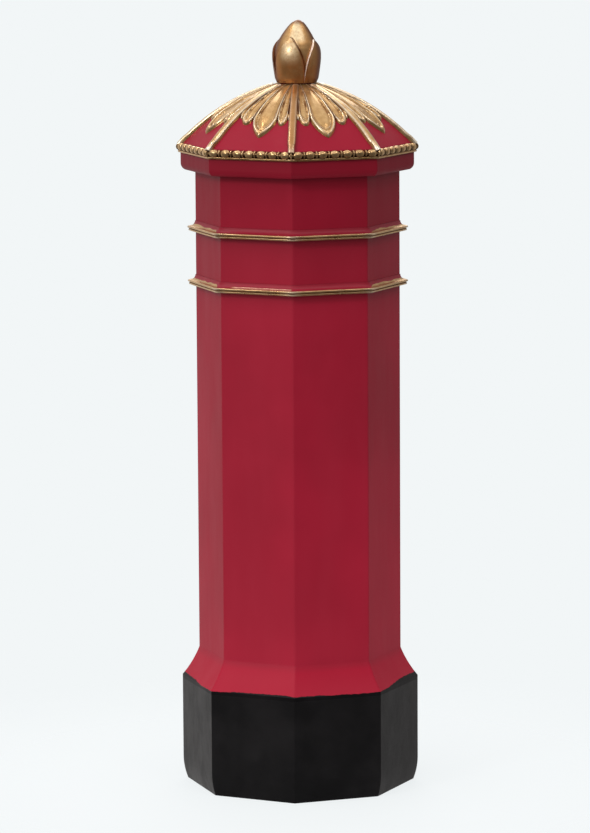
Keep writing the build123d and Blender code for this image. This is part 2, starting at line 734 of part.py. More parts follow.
def make_door_stop_frame():
    """Flat steel frame inside the opening that the shut door comes to rest against."""
    outer = BORE - DOOR_SWING_GAP
    with BuildPart() as frame:
        with BuildSketch(Plane.XY.offset(DOOR_BASE - 12)):
            RegularPolygon(outer, 8, major_radius=False, rotation=22.5)
            RegularPolygon(FRAME_INNER, 8, major_radius=False, rotation=22.5, mode=Mode.SUBTRACT)
            with Locations((0, -70)):
                Rectangle(500, 200, align=(Align.CENTER, Align.MAX), mode=Mode.INTERSECT)
        extrude(amount=DOOR_TOP - DOOR_BASE + 24)
        with BuildSketch(Plane.XY.offset(DOOR_BASE + 12)):
            with Locations((0, -96)):
                Rectangle(500, 200, align=(Align.CENTER, Align.MAX))
        extrude(amount=DOOR_TOP - DOOR_BASE - 24, mode=Mode.SUBTRACT)
        for side in (-1, 1):
            with BuildSketch(Plane.YZ.offset(side * FRAME_INNER)):
                with Locations(*[(FRAME_SCREW_Y, z) for z in FRAME_SCREW_HEIGHTS]):
                    Circle(2.2)
            extrude(amount=side * 6, mode=Mode.SUBTRACT)
    return frame


def make_frame_screws():
    with BuildPart() as screws:
        for side in (-1, 1):
            with BuildSketch(Plane.YZ.offset(side * FRAME_INNER)):
                with Locations(*[(FRAME_SCREW_Y, z) for z in FRAME_SCREW_HEIGHTS]):
                    Circle(2)
            extrude(amount=side * (BORE - FRAME_INNER + 6))
            with BuildSketch(Plane.YZ.offset(side * FRAME_INNER)):
                with Locations(*[(FRAME_SCREW_Y, z) for z in FRAME_SCREW_HEIGHTS]):
                    Circle(3.5)
            extrude(amount=-side * 2)
    return screws


def make_keeper():
    """Striker plate on the stop frame, behind which the lock bolt shoots."""
    with BuildPart() as keeper:
        with BuildSketch(LOCK_FACE.offset(FRAME_INNER)):
            with Locations((-64, LOCK_Z)):
                Rectangle(20, 60)
        extrude(amount=-3)
        with BuildSketch(LOCK_FACE.offset(FRAME_INNER)):
            with Locations(*KEEPER_SCREW_POINTS):
                Circle(2)
        extrude(amount=-3, mode=Mode.SUBTRACT)
    return keeper


# ---------------------------------------------------------------- hinges
def body_leaf_screw_points(height):
    return [(HINGE_AXIS.Y + 20, height - 12), (HINGE_AXIS.Y + 33, height + 12),
            (HINGE_AXIS.Y + 20, height + 12), (HINGE_AXIS.Y + 33, height - 12)]


def door_leaf_screw_points(height):
    return [(-20, height - 12), (-20, height + 12), (-33, height - 12), (-33, height + 12)]


def door_leaf_face(depth):
    """Plane at a depth behind the hinge axis, facing out of the door beside it."""
    return Plane(
        origin=HINGE_AXIS - HINGE_FACE_OUT * depth,
        x_dir=-HINGE_FACE_RUN,
        z_dir=HINGE_FACE_OUT,
    )


def make_hinge_brackets():
    """Fixed halves of both hinges: two outer knuckles on a leaf let into the column."""
    with BuildPart() as brackets:
        for height in HINGE_HEIGHTS:
            base = height - LEAF_HALF
            with BuildSketch(HINGE_PLANE.offset(base)):
                Circle(KNUCKLE)
            extrude(amount=2 * LEAF_HALF)
            with BuildSketch(Plane.XY.offset(base)):
                with Locations((SHAFT, HINGE_AXIS.Y)):
                    Rectangle(LEAF, 42, align=(Align.MAX, Align.MIN))
            extrude(amount=2 * LEAF_HALF)
            with BuildSketch(HINGE_PLANE.offset(height - MID_KNUCKLE - KNUCKLE_GAP)):
                Circle(KNUCKLE + 0.4)
            extrude(amount=2 * (MID_KNUCKLE + KNUCKLE_GAP), mode=Mode.SUBTRACT)
            with BuildSketch(HINGE_PLANE.offset(base)):
                Circle(HINGE_PIN)
            extrude(amount=2 * LEAF_HALF, mode=Mode.SUBTRACT)
            with BuildSketch(Plane.YZ.offset(SHAFT - LEAF)):
                with Locations(*body_leaf_screw_points(height)):
                    Circle(2.6)
            extrude(amount=LEAF, mode=Mode.SUBTRACT)
    return brackets


def make_door_hinge_lugs():
    """Moving halves: the middle knuckle on a leaf let into the door."""
    with BuildPart() as lugs:
        for height in HINGE_HEIGHTS:
            base = height - LEAF_HALF
            with BuildSketch(HINGE_PLANE.offset(height - MID_KNUCKLE)):
                Circle(KNUCKLE)
            extrude(amount=2 * MID_KNUCKLE)
            with BuildSketch(DOOR_LEAF_PLANE.offset(base)):
                with Locations((0, -HINGE_PROUD - LEAF)):
                    Rectangle(42, LEAF, align=(Align.MIN, Align.MIN))
            extrude(amount=2 * LEAF_HALF)
            for foot in (base, height + MID_KNUCKLE):
                with BuildSketch(HINGE_PLANE.offset(foot)):
                    Circle(KNUCKLE + 0.4)
                extrude(amount=LEAF_HALF - MID_KNUCKLE, mode=Mode.SUBTRACT)
            with BuildSketch(HINGE_PLANE.offset(height - MID_KNUCKLE)):
                Circle(HINGE_PIN + RUNNING_FIT)
            extrude(amount=2 * MID_KNUCKLE, mode=Mode.SUBTRACT)
            with BuildSketch(door_leaf_face(HINGE_PROUD + LEAF)):
                with Locations(*door_leaf_screw_points(height)):
                    Circle(2.6)
            extrude(amount=LEAF, mode=Mode.SUBTRACT)
    return lugs


def make_hinge_pins():
    with BuildPart() as pins:
        for height in HINGE_HEIGHTS:
            with BuildSketch(HINGE_PLANE.offset(height - LEAF_HALF)):
                Circle(HINGE_PIN)
            extrude(amount=2 * LEAF_HALF)
            with BuildSketch(HINGE_PLANE.offset(height + LEAF_HALF)):
                Circle(HINGE_PIN + 2)
            extrude(amount=PIN_HEAD)
    return pins


def make_hinge_screws():
    with BuildPart() as screws:
        for height in HINGE_HEIGHTS:
            with BuildSketch(Plane.YZ.offset(SHAFT - LEAF - 5)):
                with Locations(*body_leaf_screw_points(height)):
                    Circle(2.5)
            extrude(amount=LEAF + 5)
    return screws


def make_door_hinge_screws():
    with BuildPart() as screws:
        for height in HINGE_HEIGHTS:
            with BuildSketch(door_leaf_face(HINGE_PROUD)):
                with Locations(*door_leaf_screw_points(height)):
                    Circle(2.5)
            extrude(amount=-(LEAF + 5))
    return screws


# ---------------------------------------------------------------- lock
def make_lock_case():
    """Open-backed iron box inside the door, slotted for the bolt."""
    depth = BORE - LOCK_BACK
    with BuildPart() as case:
        with BuildSketch(LOCK_FACE.offset(LOCK_BACK)):
            with Locations((LOCK_X, LOCK_Z)):
                Rectangle(72, 100)
        extrude(amount=depth)
        with BuildSketch(LOCK_FACE.offset(LOCK_BACK)):
            with Locations((LOCK_X, LOCK_Z)):
                Rectangle(66, 94)
                with Locations(*LOCK_CORNERS):
                    Circle(6, mode=Mode.SUBTRACT)
        extrude(amount=depth - 3, mode=Mode.SUBTRACT)
        with BuildSketch(LOCK_FACE.offset(LOCK_BACK)):
            with Locations(*LOCK_SCREW_POINTS):
                Circle(2.6)
        extrude(amount=depth, mode=Mode.SUBTRACT)
        with BuildSketch(LOCK_FACE.offset(BORE - 3)):
            with Locations((LOCK_X, LOCK_Z)):
                Circle(SPINDLE + RUNNING_FIT)
        extrude(amount=3, mode=Mode.SUBTRACT)
        with BuildSketch(LOCK_FACE.offset(LOCK_BOLT_BACK - 0.2)):
            with Locations((LOCK_X - 34.5, LOCK_Z)):
                Rectangle(6, LOCK_BOLT_HEIGHT + 0.4)
        extrude(amount=LOCK_BOLT_DEPTH + 0.4, mode=Mode.SUBTRACT)
    return case


def make_lock_cap():
    with BuildPart() as cap:
        with BuildSketch(LOCK_FACE.offset(LOCK_BACK)):
            with Locations((LOCK_X, LOCK_Z)):
                RectangleRounded(72, 100, 2)
            with Locations(*LOCK_SCREW_POINTS):
                Circle(2.6, mode=Mode.SUBTRACT)
        extrude(amount=-2)
    return cap


def make_lock_screws():
    with BuildPart() as screws:
        with BuildSketch(LOCK_FACE.offset(LOCK_BACK - 2)):
            with Locations(*LOCK_SCREW_POINTS):
                Circle(2.5)
        extrude(amount=BORE - LOCK_BACK + 8)
        with BuildSketch(LOCK_FACE.offset(LOCK_BACK - 2)):
            with Locations(*LOCK_SCREW_POINTS):
                Circle(4.5)
        extrude(amount=-2.5)
    return screws


def make_lock_bolt():
    with BuildPart() as bolt:
        with BuildSketch(LOCK_FACE.offset(LOCK_BOLT_BACK)):
            with Locations((LOCK_BOLT_TIP, LOCK_Z)):
                Rectangle(48, LOCK_BOLT_HEIGHT, align=(Align.MIN, Align.CENTER))
        extrude(amount=LOCK_BOLT_DEPTH)
        tip = bolt.faces().sort_by(Axis(LOCK_FACE.origin, LOCK_FACE.x_dir))[0]
        fillet(tip.edges().filter_by(Axis.Z), 2)
        # two talons cut in the upper edge for the key to work against
        with BuildSketch(LOCK_FACE.offset(LOCK_BOLT_BACK)):
            with Locations((LOCK_BOLT_TIP + 34, LOCK_Z + LOCK_BOLT_HEIGHT / 2)):
                Rectangle(8, 10)
        extrude(amount=LOCK_BOLT_DEPTH, mode=Mode.SUBTRACT)
    return bolt


def make_lock_barrel():
    """Round key spindle with a driving cam inside the case and a keyway in its face."""
    inner = LOCK_BOLT_BACK + LOCK_BOLT_DEPTH + 0.5
    with BuildPart() as barrel:
        with BuildSketch(LOCK_FACE.offset(inner)):
            with Locations((LOCK_X, LOCK_Z)):
                Circle(SPINDLE)
        extrude(amount=SHAFT + ESCUTCHEON - inner)
        with BuildSketch(LOCK_FACE.offset(inner)):
            with Locations((LOCK_X, LOCK_Z)):
                Circle(SPINDLE + 4)
        extrude(amount=BORE - 3 - inner - 0.4)
        with BuildSketch(LOCK_FACE.offset(SHAFT + ESCUTCHEON)):
            with Locations((LOCK_X, LOCK_Z)):
                Circle(2.2)
            with Locations((LOCK_X, LOCK_Z - 2.5)):
                Rectangle(1.8, 5)
        extrude(amount=-12, mode=Mode.SUBTRACT)
    return barrel


def make_escutcheon():
    with BuildPart() as plate:
        with BuildSketch(LOCK_FACE.offset(SHAFT)):
            with Locations((LOCK_X, LOCK_Z + 6)):
                SlotOverall(84, 38, rotation=90)
            with Locations((LOCK_X, LOCK_Z)):
                Circle(SPINDLE + 0.2, mode=Mode.SUBTRACT)
            with Locations(*ESCUTCHEON_SCREW_POINTS, COVER_PIVOT_POINT):
                Circle(1.6, mode=Mode.SUBTRACT)
        extrude(amount=ESCUTCHEON)
        rim = plate.faces().sort_by(Axis(LOCK_FACE.origin, LOCK_FACE.z_dir))[-1]
        chamfer(rim.outer_wire().edges(), 1)
    return plate


def make_keyhole_cover():
    """Drop-shaped cover hanging from its pivot over the keyhole."""
    pivot_x, pivot_z = COVER_PIVOT_POINT
    with BuildPart() as cover:
        with BuildSketch(LOCK_FACE.offset(SHAFT + ESCUTCHEON + 0.3)):
            with BuildLine():
                Line((pivot_x - 5, pivot_z), (pivot_x - 10.5, LOCK_Z))
                ThreePointArc((pivot_x - 10.5, LOCK_Z), (pivot_x, LOCK_Z - 12),
                              (pivot_x + 10.5, LOCK_Z))
                Line((pivot_x + 10.5, LOCK_Z), (pivot_x + 5, pivot_z))
                ThreePointArc((pivot_x + 5, pivot_z), (pivot_x, pivot_z + 6),
                              (pivot_x - 5, pivot_z))
            make_face()
            with Locations(COVER_PIVOT_POINT):
                Circle(1.5 + RUNNING_FIT, mode=Mode.SUBTRACT)
        extrude(amount=2.2)
    return cover


def make_cover_pivot():
    top = ESCUTCHEON + 0.3 + 2.2 + 0.2
    with BuildPart() as pivot:
        with BuildSketch(LOCK_FACE.offset(SHAFT - 6)):
            with Locations(COVER_PIVOT_POINT):
                Circle(1.5)
        extrude(amount=6 + top)
        with BuildSketch(LOCK_FACE.offset(SHAFT + top)):
            with Locations(COVER_PIVOT_POINT):
                Circle(3.6)
        extrude(amount=1.6)
    return pivot


# ---------------------------------------------------------------- notice and number tablet
def make_notice_frame():
    with BuildPart() as frame:
        with BuildSketch(FRONT.offset(SHAFT)):
            with Locations((0, NOTICE_Z)):
                RectangleRounded(124, 164, 4)
                Rectangle(96, 136, mode=Mode.SUBTRACT)
        extrude(amount=6)
        inner_edges = frame.faces().sort_by(Axis.Y)[0].edges()
        chamfer(inner_edges, 1.5)
        with BuildSketch(FRONT.offset(SHAFT)):
            with Locations((0, NOTICE_Z)):
                Rectangle(106, 146)
        extrude(amount=2.5, mode=Mode.SUBTRACT)
        with BuildSketch(FRONT.offset(SHAFT)):
            with Locations(*NOTICE_SCREW_POINTS):
                Circle(2.1)
        extrude(amount=6, mode=Mode.SUBTRACT)
    return frame


def make_notice_plate():
    with BuildPart() as plate:
        with BuildSketch(FRONT.offset(SHAFT)):
            with Locations((0, NOTICE_Z)):
                Rectangle(105.6, 145.6)
        extrude(amount=2.4)
    return plate


def make_tablet_holder():
    with BuildPart() as holder:
        with BuildSketch(FRONT.offset(SHAFT)):
            with Locations((0, TABLET_Z)):
                RectangleRounded(92, 50, 3)
        extrude(amount=7)
        with BuildSketch(FRONT.offset(SHAFT + 2.2)):
            with Locations((0, TABLET_Z - 20.8)):
                Rectangle(62.4, 60, align=(Align.CENTER, Align.MIN))
        extrude(amount=2.4, mode=Mode.SUBTRACT)
        with BuildSketch(FRONT.offset(SHAFT + 2.2)):
            with Locations((0, TABLET_Z - 16)):
                Rectangle(54, 60, align=(Align.CENTER, Align.MIN))
        extrude(amount=10, mode=Mode.SUBTRACT)
        with BuildSketch(FRONT.offset(SHAFT)):
            with Locations(*HOLDER_SCREW_POINTS):
                Circle(2.1)
        extrude(amount=7, mode=Mode.SUBTRACT)
    return holder


def make_number_tablet():
    """Enamelled tablet with a raised numeral that shows the next collection."""
    with BuildPart() as tablet:
        with BuildSketch(FRONT.offset(SHAFT + 2.4)):
            with Locations((0, TABLET_Z - 20.6)):
                Rectangle(62, 42, align=(Align.CENTER, Align.MIN))
        extrude(amount=2)
        with BuildSketch(FRONT.offset(SHAFT + 4.4)):
            with Locations((0, TABLET_Z + 1)):
                Rectangle(4, 24)
            with Locations((-2.6, TABLET_Z + 9.5)):
                Rectangle(4, 4)
            with Locations((0, TABLET_Z - 11)):
                Rectangle(13, 3)
        extrude(amount=0.6)
    return tablet


# ---------------------------------------------------------------- inside the column
def make_floor_plate():
    with BuildPart() as plate:
        with BuildSketch(Plane.XY.offset(PLINTH_TOP + FLANGE)):
            RegularPolygon(BORE - 0.4, 8, major_radius=False, rotation=22.5)
            with Locations(*FLOOR_SCREW_POINTS):
                Circle(3.2, mode=Mode.SUBTRACT)
            with Locations(*BASE_BOLT_POINTS):
                Circle(BOLT * 2.2, mode=Mode.SUBTRACT)
        extrude(amount=3)
    return plate


def make_guard_channels():
    """Upright guides inside the left and right walls, closed below as a stop."""
    with BuildPart() as channels:
        for side in (-1, 1):
            near, far = sorted((side * 174, side * BORE))
            with BuildSketch(Plane.XY.offset(GUARD_BASE - 31)):
                with Locations(((near + far) / 2, GUARD_Y)):
                    Rectangle(far - near, 20)
            extrude(amount=CHANNEL_HEIGHT + 31)
            with BuildSketch(Plane.XY.offset(GUARD_BASE - 1)):
                with Locations((side * (174 + GUARD_HALF + 1) / 2, GUARD_Y)):
                    Rectangle(GUARD_HALF + 1 - 174, 8)
            extrude(amount=CHANNEL_HEIGHT + 1, mode=Mode.SUBTRACT)
            with BuildSketch(Plane.YZ.offset(side * (GUARD_HALF + 1))):
                with Locations(*[(GUARD_Y, z) for z in CHANNEL_SCREW_HEIGHTS]):
                    Circle(2.6)
            extrude(amount=side * 6, mode=Mode.SUBTRACT)
    return channels


def make_channel_screws():
    with BuildPart() as screws:
        for side in (-1, 1):
            with BuildSketch(Plane.YZ.offset(side * (GUARD_HALF + 1.2))):
                with Locations(*[(GUARD_Y, z) for z in CHANNEL_SCREW_HEIGHTS]):
                    Circle(2.5)
            extrude(amount=side * (BORE + 6 - GUARD_HALF - 1.2))
    return screws


def make_mail_guard():
    """Wire sash that holds the letters back when the door is opened."""
    bar = 12.0
    with BuildPart() as guard:
        with BuildSketch(Plane.XZ.offset(-GUARD_Y - 3)):
            with Locations((0, GUARD_BASE)):
                Rectangle(2 * GUARD_HALF, GUARD_HEIGHT, align=(Align.CENTER, Align.MIN))
            with Locations((0, GUARD_BASE + bar)):
                Rectangle(2 * (GUARD_HALF - bar), GUARD_HEIGHT - 2 * bar,
                          align=(Align.CENTER, Align.MIN), mode=Mode.SUBTRACT)
            with Locations((0, GUARD_BASE + GUARD_HEIGHT / 2)):
                Rectangle(2 * (GUARD_HALF - bar), 8)
        extrude(amount=6)
        wires = [(x * 28, GUARD_Y) for x in range(-5, 6)]
        with BuildSketch(Plane.XY.offset(GUARD_BASE + bar / 2)):
            with Locations(*wires):
                Circle(2.5)
        extrude(amount=GUARD_HEIGHT - bar)
    return guard


def make_guard_handle():
    with BuildPart() as handle:
        with BuildSketch(Plane.XZ.offset(-GUARD_Y + 3)):
            with Locations((-34, HANDLE_Z), (34, HANDLE_Z)):
                Rectangle(12, 20)
        extrude(amount=2)
        with BuildSketch(Plane.XZ.offset(-GUARD_Y + 5)):
            with Locations((-34, HANDLE_Z), (34, HANDLE_Z)):
                Circle(4)
        extrude(amount=17)
        with BuildSketch(Plane.YZ):
            with Locations((GUARD_Y - 20, HANDLE_Z)):
                Circle(5)
        extrude(amount=40, both=True)
    return handle


# ---------------------------------------------------------------- build and write
save(make_plinth(), "plinth")
save(make_column(), "column")
save(make_ring(LOWER_RING_BASE), "lower_ring")
save(make_ring(UPPER_RING_BASE), "upper_ring")
save(bolts(BASE_BOLT_POINTS, PLINTH_TOP + FLANGE, 2 * FLANGE + 12), "base_bolts")
save(nuts(BASE_BOLT_POINTS, PLINTH_TOP - FLANGE), "base_nuts")

save(make_head(), "head")
save(bolts(HEAD_BOLT_POINTS, HEAD_BASE + FLANGE, 2 * FLANGE + 12), "head_bolts")
save(nuts(HEAD_BOLT_POINTS, HEAD_BASE - FLANGE), "head_nuts")
save(make_cornice(), "cornice")
save(bolts(HEAD_BOLT_POINTS, HEAD_TOP + 8, FLANGE + 8 + 12), "cornice_bolts")
save(nuts(HEAD_BOLT_POINTS, HEAD_TOP - FLANGE), "cornice_nuts")
save(make_bead_moulding(), "bead_moulding")
save(make_roof(), "roof")
save(bolts(ROOF_BOLT_POINTS, CORNICE_TOP + 10, 8 + 10 + 12), "roof_bolts")
save(nuts(ROOF_BOLT_POINTS, CORNICE_TOP - 8), "roof_nuts")
roof_form = make_roof_solid()
roof_ribs = make_roof_ribs(roof_form)
save(roof_ribs, "roof_ribs")
save(make_acanthus_leaves(roof_form, roof_ribs), "acanthus_leaves")
save(make_finial_bud(), "finial_bud")
save(make_finial_stud(), "finial_stud")
save(nuts([(0, 0)], ROOF_TOP - 24, STUD), "finial_nut")

save(make_slot_hood(), "slot_hood")
save(round_head_screws(FRONT.offset(SHAFT + 7), SLOT_SCREW_POINTS, 3, 7 + WALL + 2 + 8, 6, 3),
     "slot_screws")
save(make_chute(), "chute")
save(make_flap_rod(), "flap_rod")
save(make_letter_flap(), "letter_flap")

save(make_door(), "door")
save(make_door_stop_frame(), "door_stop_frame")
save(make_frame_screws(), "frame_screws")
save(make_keeper(), "keeper")
save(make_hinge_brackets(), "hinge_brackets")
save(make_door_hinge_lugs(), "door_hinge_lugs")
save(make_hinge_pins(), "hinge_pins")
save(make_hinge_screws(), "hinge_screws")
save(make_door_hinge_screws(), "door_hinge_screws")

save(make_lock_case(), "lock_case")
save(make_lock_cap(), "lock_cap")
save(make_lock_screws(), "lock_screws")
save(make_lock_bolt(), "lock_bolt")
save(make_lock_barrel(), "lock_barrel")
save(make_escutcheon(), "escutcheon")
save(round_head_screws(LOCK_FACE.offset(SHAFT + ESCUTCHEON), ESCUTCHEON_SCREW_POINTS,
                       1.5, 9, 3, 1.6), "escutcheon_screws")
save(make_keyhole_cover(), "keyhole_cover")
save(make_cover_pivot(), "cover_pivot")

save(make_notice_frame(), "notice_frame")
save(make_notice_plate(), "notice_plate")
save(round_head_screws(FRONT.offset(SHAFT + 6), NOTICE_SCREW_POINTS, 2, 12, 4, 2),
     "notice_screws")
save(make_tablet_holder(), "tablet_holder")
save(round_head_screws(FRONT.offset(SHAFT + 7), HOLDER_SCREW_POINTS, 2, 13, 4, 2),
     "holder_screws")
save(make_number_tablet(), "number_tablet")

save(make_floor_plate(), "floor_plate")
save(bolts(FLOOR_SCREW_POINTS, PLINTH_TOP + FLANGE + 3, 11, 3.0), "floor_screws")
save(make_guard_channels(), "guard_channels")
save(make_channel_screws(), "channel_screws")
save(make_mail_guard(), "mail_guard")
save(make_guard_handle(), "guard_handle")
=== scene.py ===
import json
import math
import random

import bmesh
import bpy
import numpy as np
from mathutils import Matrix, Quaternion, Vector


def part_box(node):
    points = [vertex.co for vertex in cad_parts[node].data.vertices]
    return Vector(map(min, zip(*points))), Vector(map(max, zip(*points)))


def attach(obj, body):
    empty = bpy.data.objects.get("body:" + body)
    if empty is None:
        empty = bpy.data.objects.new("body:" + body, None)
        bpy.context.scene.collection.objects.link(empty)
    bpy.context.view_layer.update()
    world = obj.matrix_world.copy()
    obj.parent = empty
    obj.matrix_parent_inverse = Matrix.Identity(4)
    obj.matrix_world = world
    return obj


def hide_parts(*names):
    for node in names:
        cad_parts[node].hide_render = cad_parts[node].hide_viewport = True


# Looks of the octagonal pillar mailbox. Metres, in the frame of the CAD model.
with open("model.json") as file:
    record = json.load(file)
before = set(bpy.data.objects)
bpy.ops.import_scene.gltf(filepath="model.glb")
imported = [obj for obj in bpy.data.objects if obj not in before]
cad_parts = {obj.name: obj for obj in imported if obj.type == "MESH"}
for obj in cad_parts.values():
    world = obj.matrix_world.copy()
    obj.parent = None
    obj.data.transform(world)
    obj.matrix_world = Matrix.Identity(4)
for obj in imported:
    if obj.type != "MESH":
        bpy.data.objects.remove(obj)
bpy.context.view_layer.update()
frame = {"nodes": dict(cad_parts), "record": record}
nodes = frame["nodes"]
chance = random.Random(11)

# ---------------------------------------------------------------- sizes read from the frame
MM = 0.001
FACE_TURN = math.pi / 4
HALF_FACE = math.tan(math.pi / 8)               # half a face's width over the apothem
CORNER = 1 / math.cos(math.pi / 8)              # corner radius over the apothem

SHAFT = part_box("head")[1].x                     # apothem of the shaft
ROOF_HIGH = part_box("roof")[1]
BEAD_LOW, BEAD_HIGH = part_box("bead_moulding")
BUD_LOW, BUD_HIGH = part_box("finial_bud")
RIM = ROOF_HIGH.x                               # apothem of the roof's lower edge
RIM_Z = BEAD_HIGH.z                             # and its height
RING_GAP_Z = (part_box("lower_ring")[1].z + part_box("upper_ring")[0].z) / 2
PLINTH_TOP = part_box("plinth")[1].z


def level_direction(degrees):
    """Unit vector on the level at an angle about Z."""
    angle = math.radians(degrees)
    return (math.cos(angle), math.sin(angle), 0.0)


NEAR_CORNER = level_direction(2.5 * 45)         # the corner that stands nearest to the camera
PETAL_HIGHLIGHT_SIDE = level_direction(97)               # where a highlight is painted on the bud's front petal
HEART_HIGHLIGHT_SIDE = level_direction(118)              # and where one is painted on the heart above it

# ---------------------------------------------------------------- roof curve
# apothem and height of points of its arc half-way up and under the bud
ROOF_MIDDLE = (0.155, 1.455)
ROOF_CROWN = (0.034, ROOF_HIGH.z - 1 * MM)


def circle_through(a, b, c):
    """Centre and radius of the circle through three points of a plane."""
    (ax, ay), (bx, by), (cx, cy) = a, b, c
    d = 2 * (ax * (by - cy) + bx * (cy - ay) + cx * (ay - by))
    sa, sb, sc = ax * ax + ay * ay, bx * bx + by * by, cx * cx + cy * cy
    x = (sa * (by - cy) + sb * (cy - ay) + sc * (ay - by)) / d
    y = (sa * (cx - bx) + sb * (ax - cx) + sc * (bx - ax)) / d
    return (x, y), math.hypot(ax - x, ay - y)


ROOF_CENTRE, ROOF_RADIUS = circle_through((RIM, RIM_Z), ROOF_MIDDLE, ROOF_CROWN)


def roof_section(apothem, lift):
    """Apothem and height of points that stand lift proud of the roof's curve."""
    run = (apothem - ROOF_CENTRE[0]) / ROOF_RADIUS
    rise = np.sqrt(1 - run * run)
    return (ROOF_CENTRE[0] + (ROOF_RADIUS + lift) * run,
            ROOF_CENTRE[1] + (ROOF_RADIUS + lift) * rise)


def on_face(turn, apothem, side, height):
    """Frame coordinates of points on face number turn, sideways counter-clockwise."""
    angle = turn * FACE_TURN
    return np.stack([
        apothem * math.cos(angle) - side * math.sin(angle),
        apothem * math.sin(angle) + side * math.cos(angle),
        height + 0 * side,
    ], axis=-1)


# ---------------------------------------------------------------- mesh helpers
def piece_from(name, shape, material, replaces=(), angle=40):
    """A mesh object in the frame's coordinates that rides on the pillar, sharp above an angle."""
    mesh = bpy.data.meshes.new(name)
    mesh.from_pydata([tuple(v) for v in shape.verts], [], shape.faces)
    bm = bmesh.new()
    bm.from_mesh(mesh)
    bmesh.ops.remove_doubles(bm, verts=bm.verts, dist=1e-6)
    loose = [v for v in bm.verts if not v.link_faces]
    bmesh.ops.delete(bm, geom=loose, context="VERTS")
    bmesh.ops.recalc_face_normals(bm, faces=bm.faces)
    limit = math.radians(angle)
    for face in bm.faces:
        face.smooth = True
    for edge in bm.edges:
        if len(edge.link_faces) == 2 and edge.calc_face_angle(0) > limit:
            edge.smooth = False
    bm.to_mesh(mesh)
    bm.free()
    piece = bpy.data.objects.new(name, mesh)
    bpy.context.scene.collection.objects.link(piece)
    mesh.materials.append(material)
    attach(piece, "pillar")
    if replaces:
        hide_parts(*replaces)


class Shape:
    """Vertices and faces collected from several parts of one piece."""

    def __init__(self):
        self.verts = []
        self.faces = []

    def grid(self, points, keep=None, closed_rows=False, closed_columns=False):
        """Quads over points[row][column]; keep says which quads stay."""
        rows, columns = points.shape[:2]
        start = len(self.verts)
        self.verts.extend(points.reshape(-1, 3).tolist())
        for i in range(rows if closed_rows else rows - 1):
            for j in range(columns if closed_columns else columns - 1):
                if keep is not None and not keep[i, j]:
                    continue
                k, m = (i + 1) % rows, (j + 1) % columns
                self.faces.append((start + i * columns + j, start + i * columns + m,
                                   start + k * columns + m, start + k * columns + j))

    def fan(self, ring, centre):
        """Close a ring of points with triangles to a centre point."""
        start = len(self.verts)
        self.verts.extend([list(p) for p in ring])
        self.verts.append(list(centre))
        count = len(ring)
        for i in range(count):
            self.faces.append((start + i, start + (i + 1) % count, start + count))


def lathe(shape, centre, along, radii, offsets, bud_side_shade=18):
    """Closed turned form round an axis: radii at offsets along it."""
    along = Vector(along).normalized()
    up = Vector((0, 0, 1))
    out = along.cross(up).normalized()
    up = out.cross(along)
    rows = []
    for radius, offset in zip(radii, offsets):
        middle = Vector(centre) + along * offset
        rows.append([list(middle + (out * math.cos(t) + up * math.sin(t)) * radius)
                     for t in (2 * math.pi * k / bud_side_shade for k in range(bud_side_shade))])
    shape.grid(np.array(rows), closed_columns=True)
    shape.fan(rows[0], Vector(centre) + along * offsets[0])
    shape.fan(rows[-1], Vector(centre) + along * offsets[-1])


def octagon_sweep(shape, profile, steps=1, wobble=0.0):
    """A closed section of (apothem, height) points carried round the eight faces."""
    points = []
    for turn in range(8):
        for step in range(steps):
            share = 2 * step / steps - 1
            row = []
            for apothem, height in profile:
                drift = wobble * (chance.random() - 0.5) if step else 0.0
                side = np.array(share * apothem * HALF_FACE)
                row.append(on_face(turn, apothem + drift, side, height))
            points.append(row)
    shape.grid(np.array(points), closed_rows=True, closed_columns=True)


def arc(centre, radius, start, end, count):
    """Points of an arc in the section plane, angles in degrees."""
    return [(centre[0] + radius * math.cos(math.radians(start + (end - start) * k / count)),
             centre[1] + radius * math.sin(math.radians(start + (end - start) * k / count)))
            for k in range(count + 1)]


# ---------------------------------------------------------------- materials
class Nodes:
    """Short calls for building a node tree."""

    def __init__(self, tree):
        self.tree = tree

    def add(self, kind, **values):
        node = self.tree.nodes.new(kind)
        for key, value in values.items():
            setattr(node, key, value)
        return node

    def link(self, source, target):
        self.tree.links.new(source, target)

    def put(self, value, socket):
        """Give a socket a number, a colour or the output of another node."""
        if isinstance(value, (int, float)):
            socket.default_value = value
        elif isinstance(value, tuple):
            socket.default_value = (*value, 1.0)
        else:
            self.link(value, socket)

    def ramp(self, value, low, high, out_low=0.0, out_high=1.0):
        """Smooth step from out_low to out_high as the value goes from low to high."""
        node = self.add("ShaderNodeMapRange")
        node.interpolation_type = "SMOOTHSTEP"
        node.inputs["From Min"].default_value = low
        node.inputs["From Max"].default_value = high
        node.inputs["To Min"].default_value = out_low
        node.inputs["To Max"].default_value = out_high
        self.link(value, node.inputs["Value"])
        return node.outputs["Result"]

    def math(self, operation, a, b=None):
        node = self.add("ShaderNodeMath", operation=operation)
        self.put(a, node.inputs[0])
        if b is not None:
            self.put(b, node.inputs[1])
        return node.outputs["Value"]

    def product(self, first, *others):
        for value in others:
            first = self.math("MULTIPLY", first, value)
        return first

    def along(self, vector, direction):
        """Dot product of a vector output and a fixed direction."""
        node = self.add("ShaderNodeVectorMath", operation="DOT_PRODUCT")
        self.link(vector, node.inputs[0])
        node.inputs[1].default_value = direction
        return node.outputs["Value"]

    def blend(self, factor, a, b):
        """Mix two shaders, from a at factor 0 to b at factor 1."""
        node = self.add("ShaderNodeMixShader")
        self.put(factor, node.inputs[0])
        self.link(a, node.inputs[1])
        self.link(b, node.inputs[2])
        return node.outputs[0]


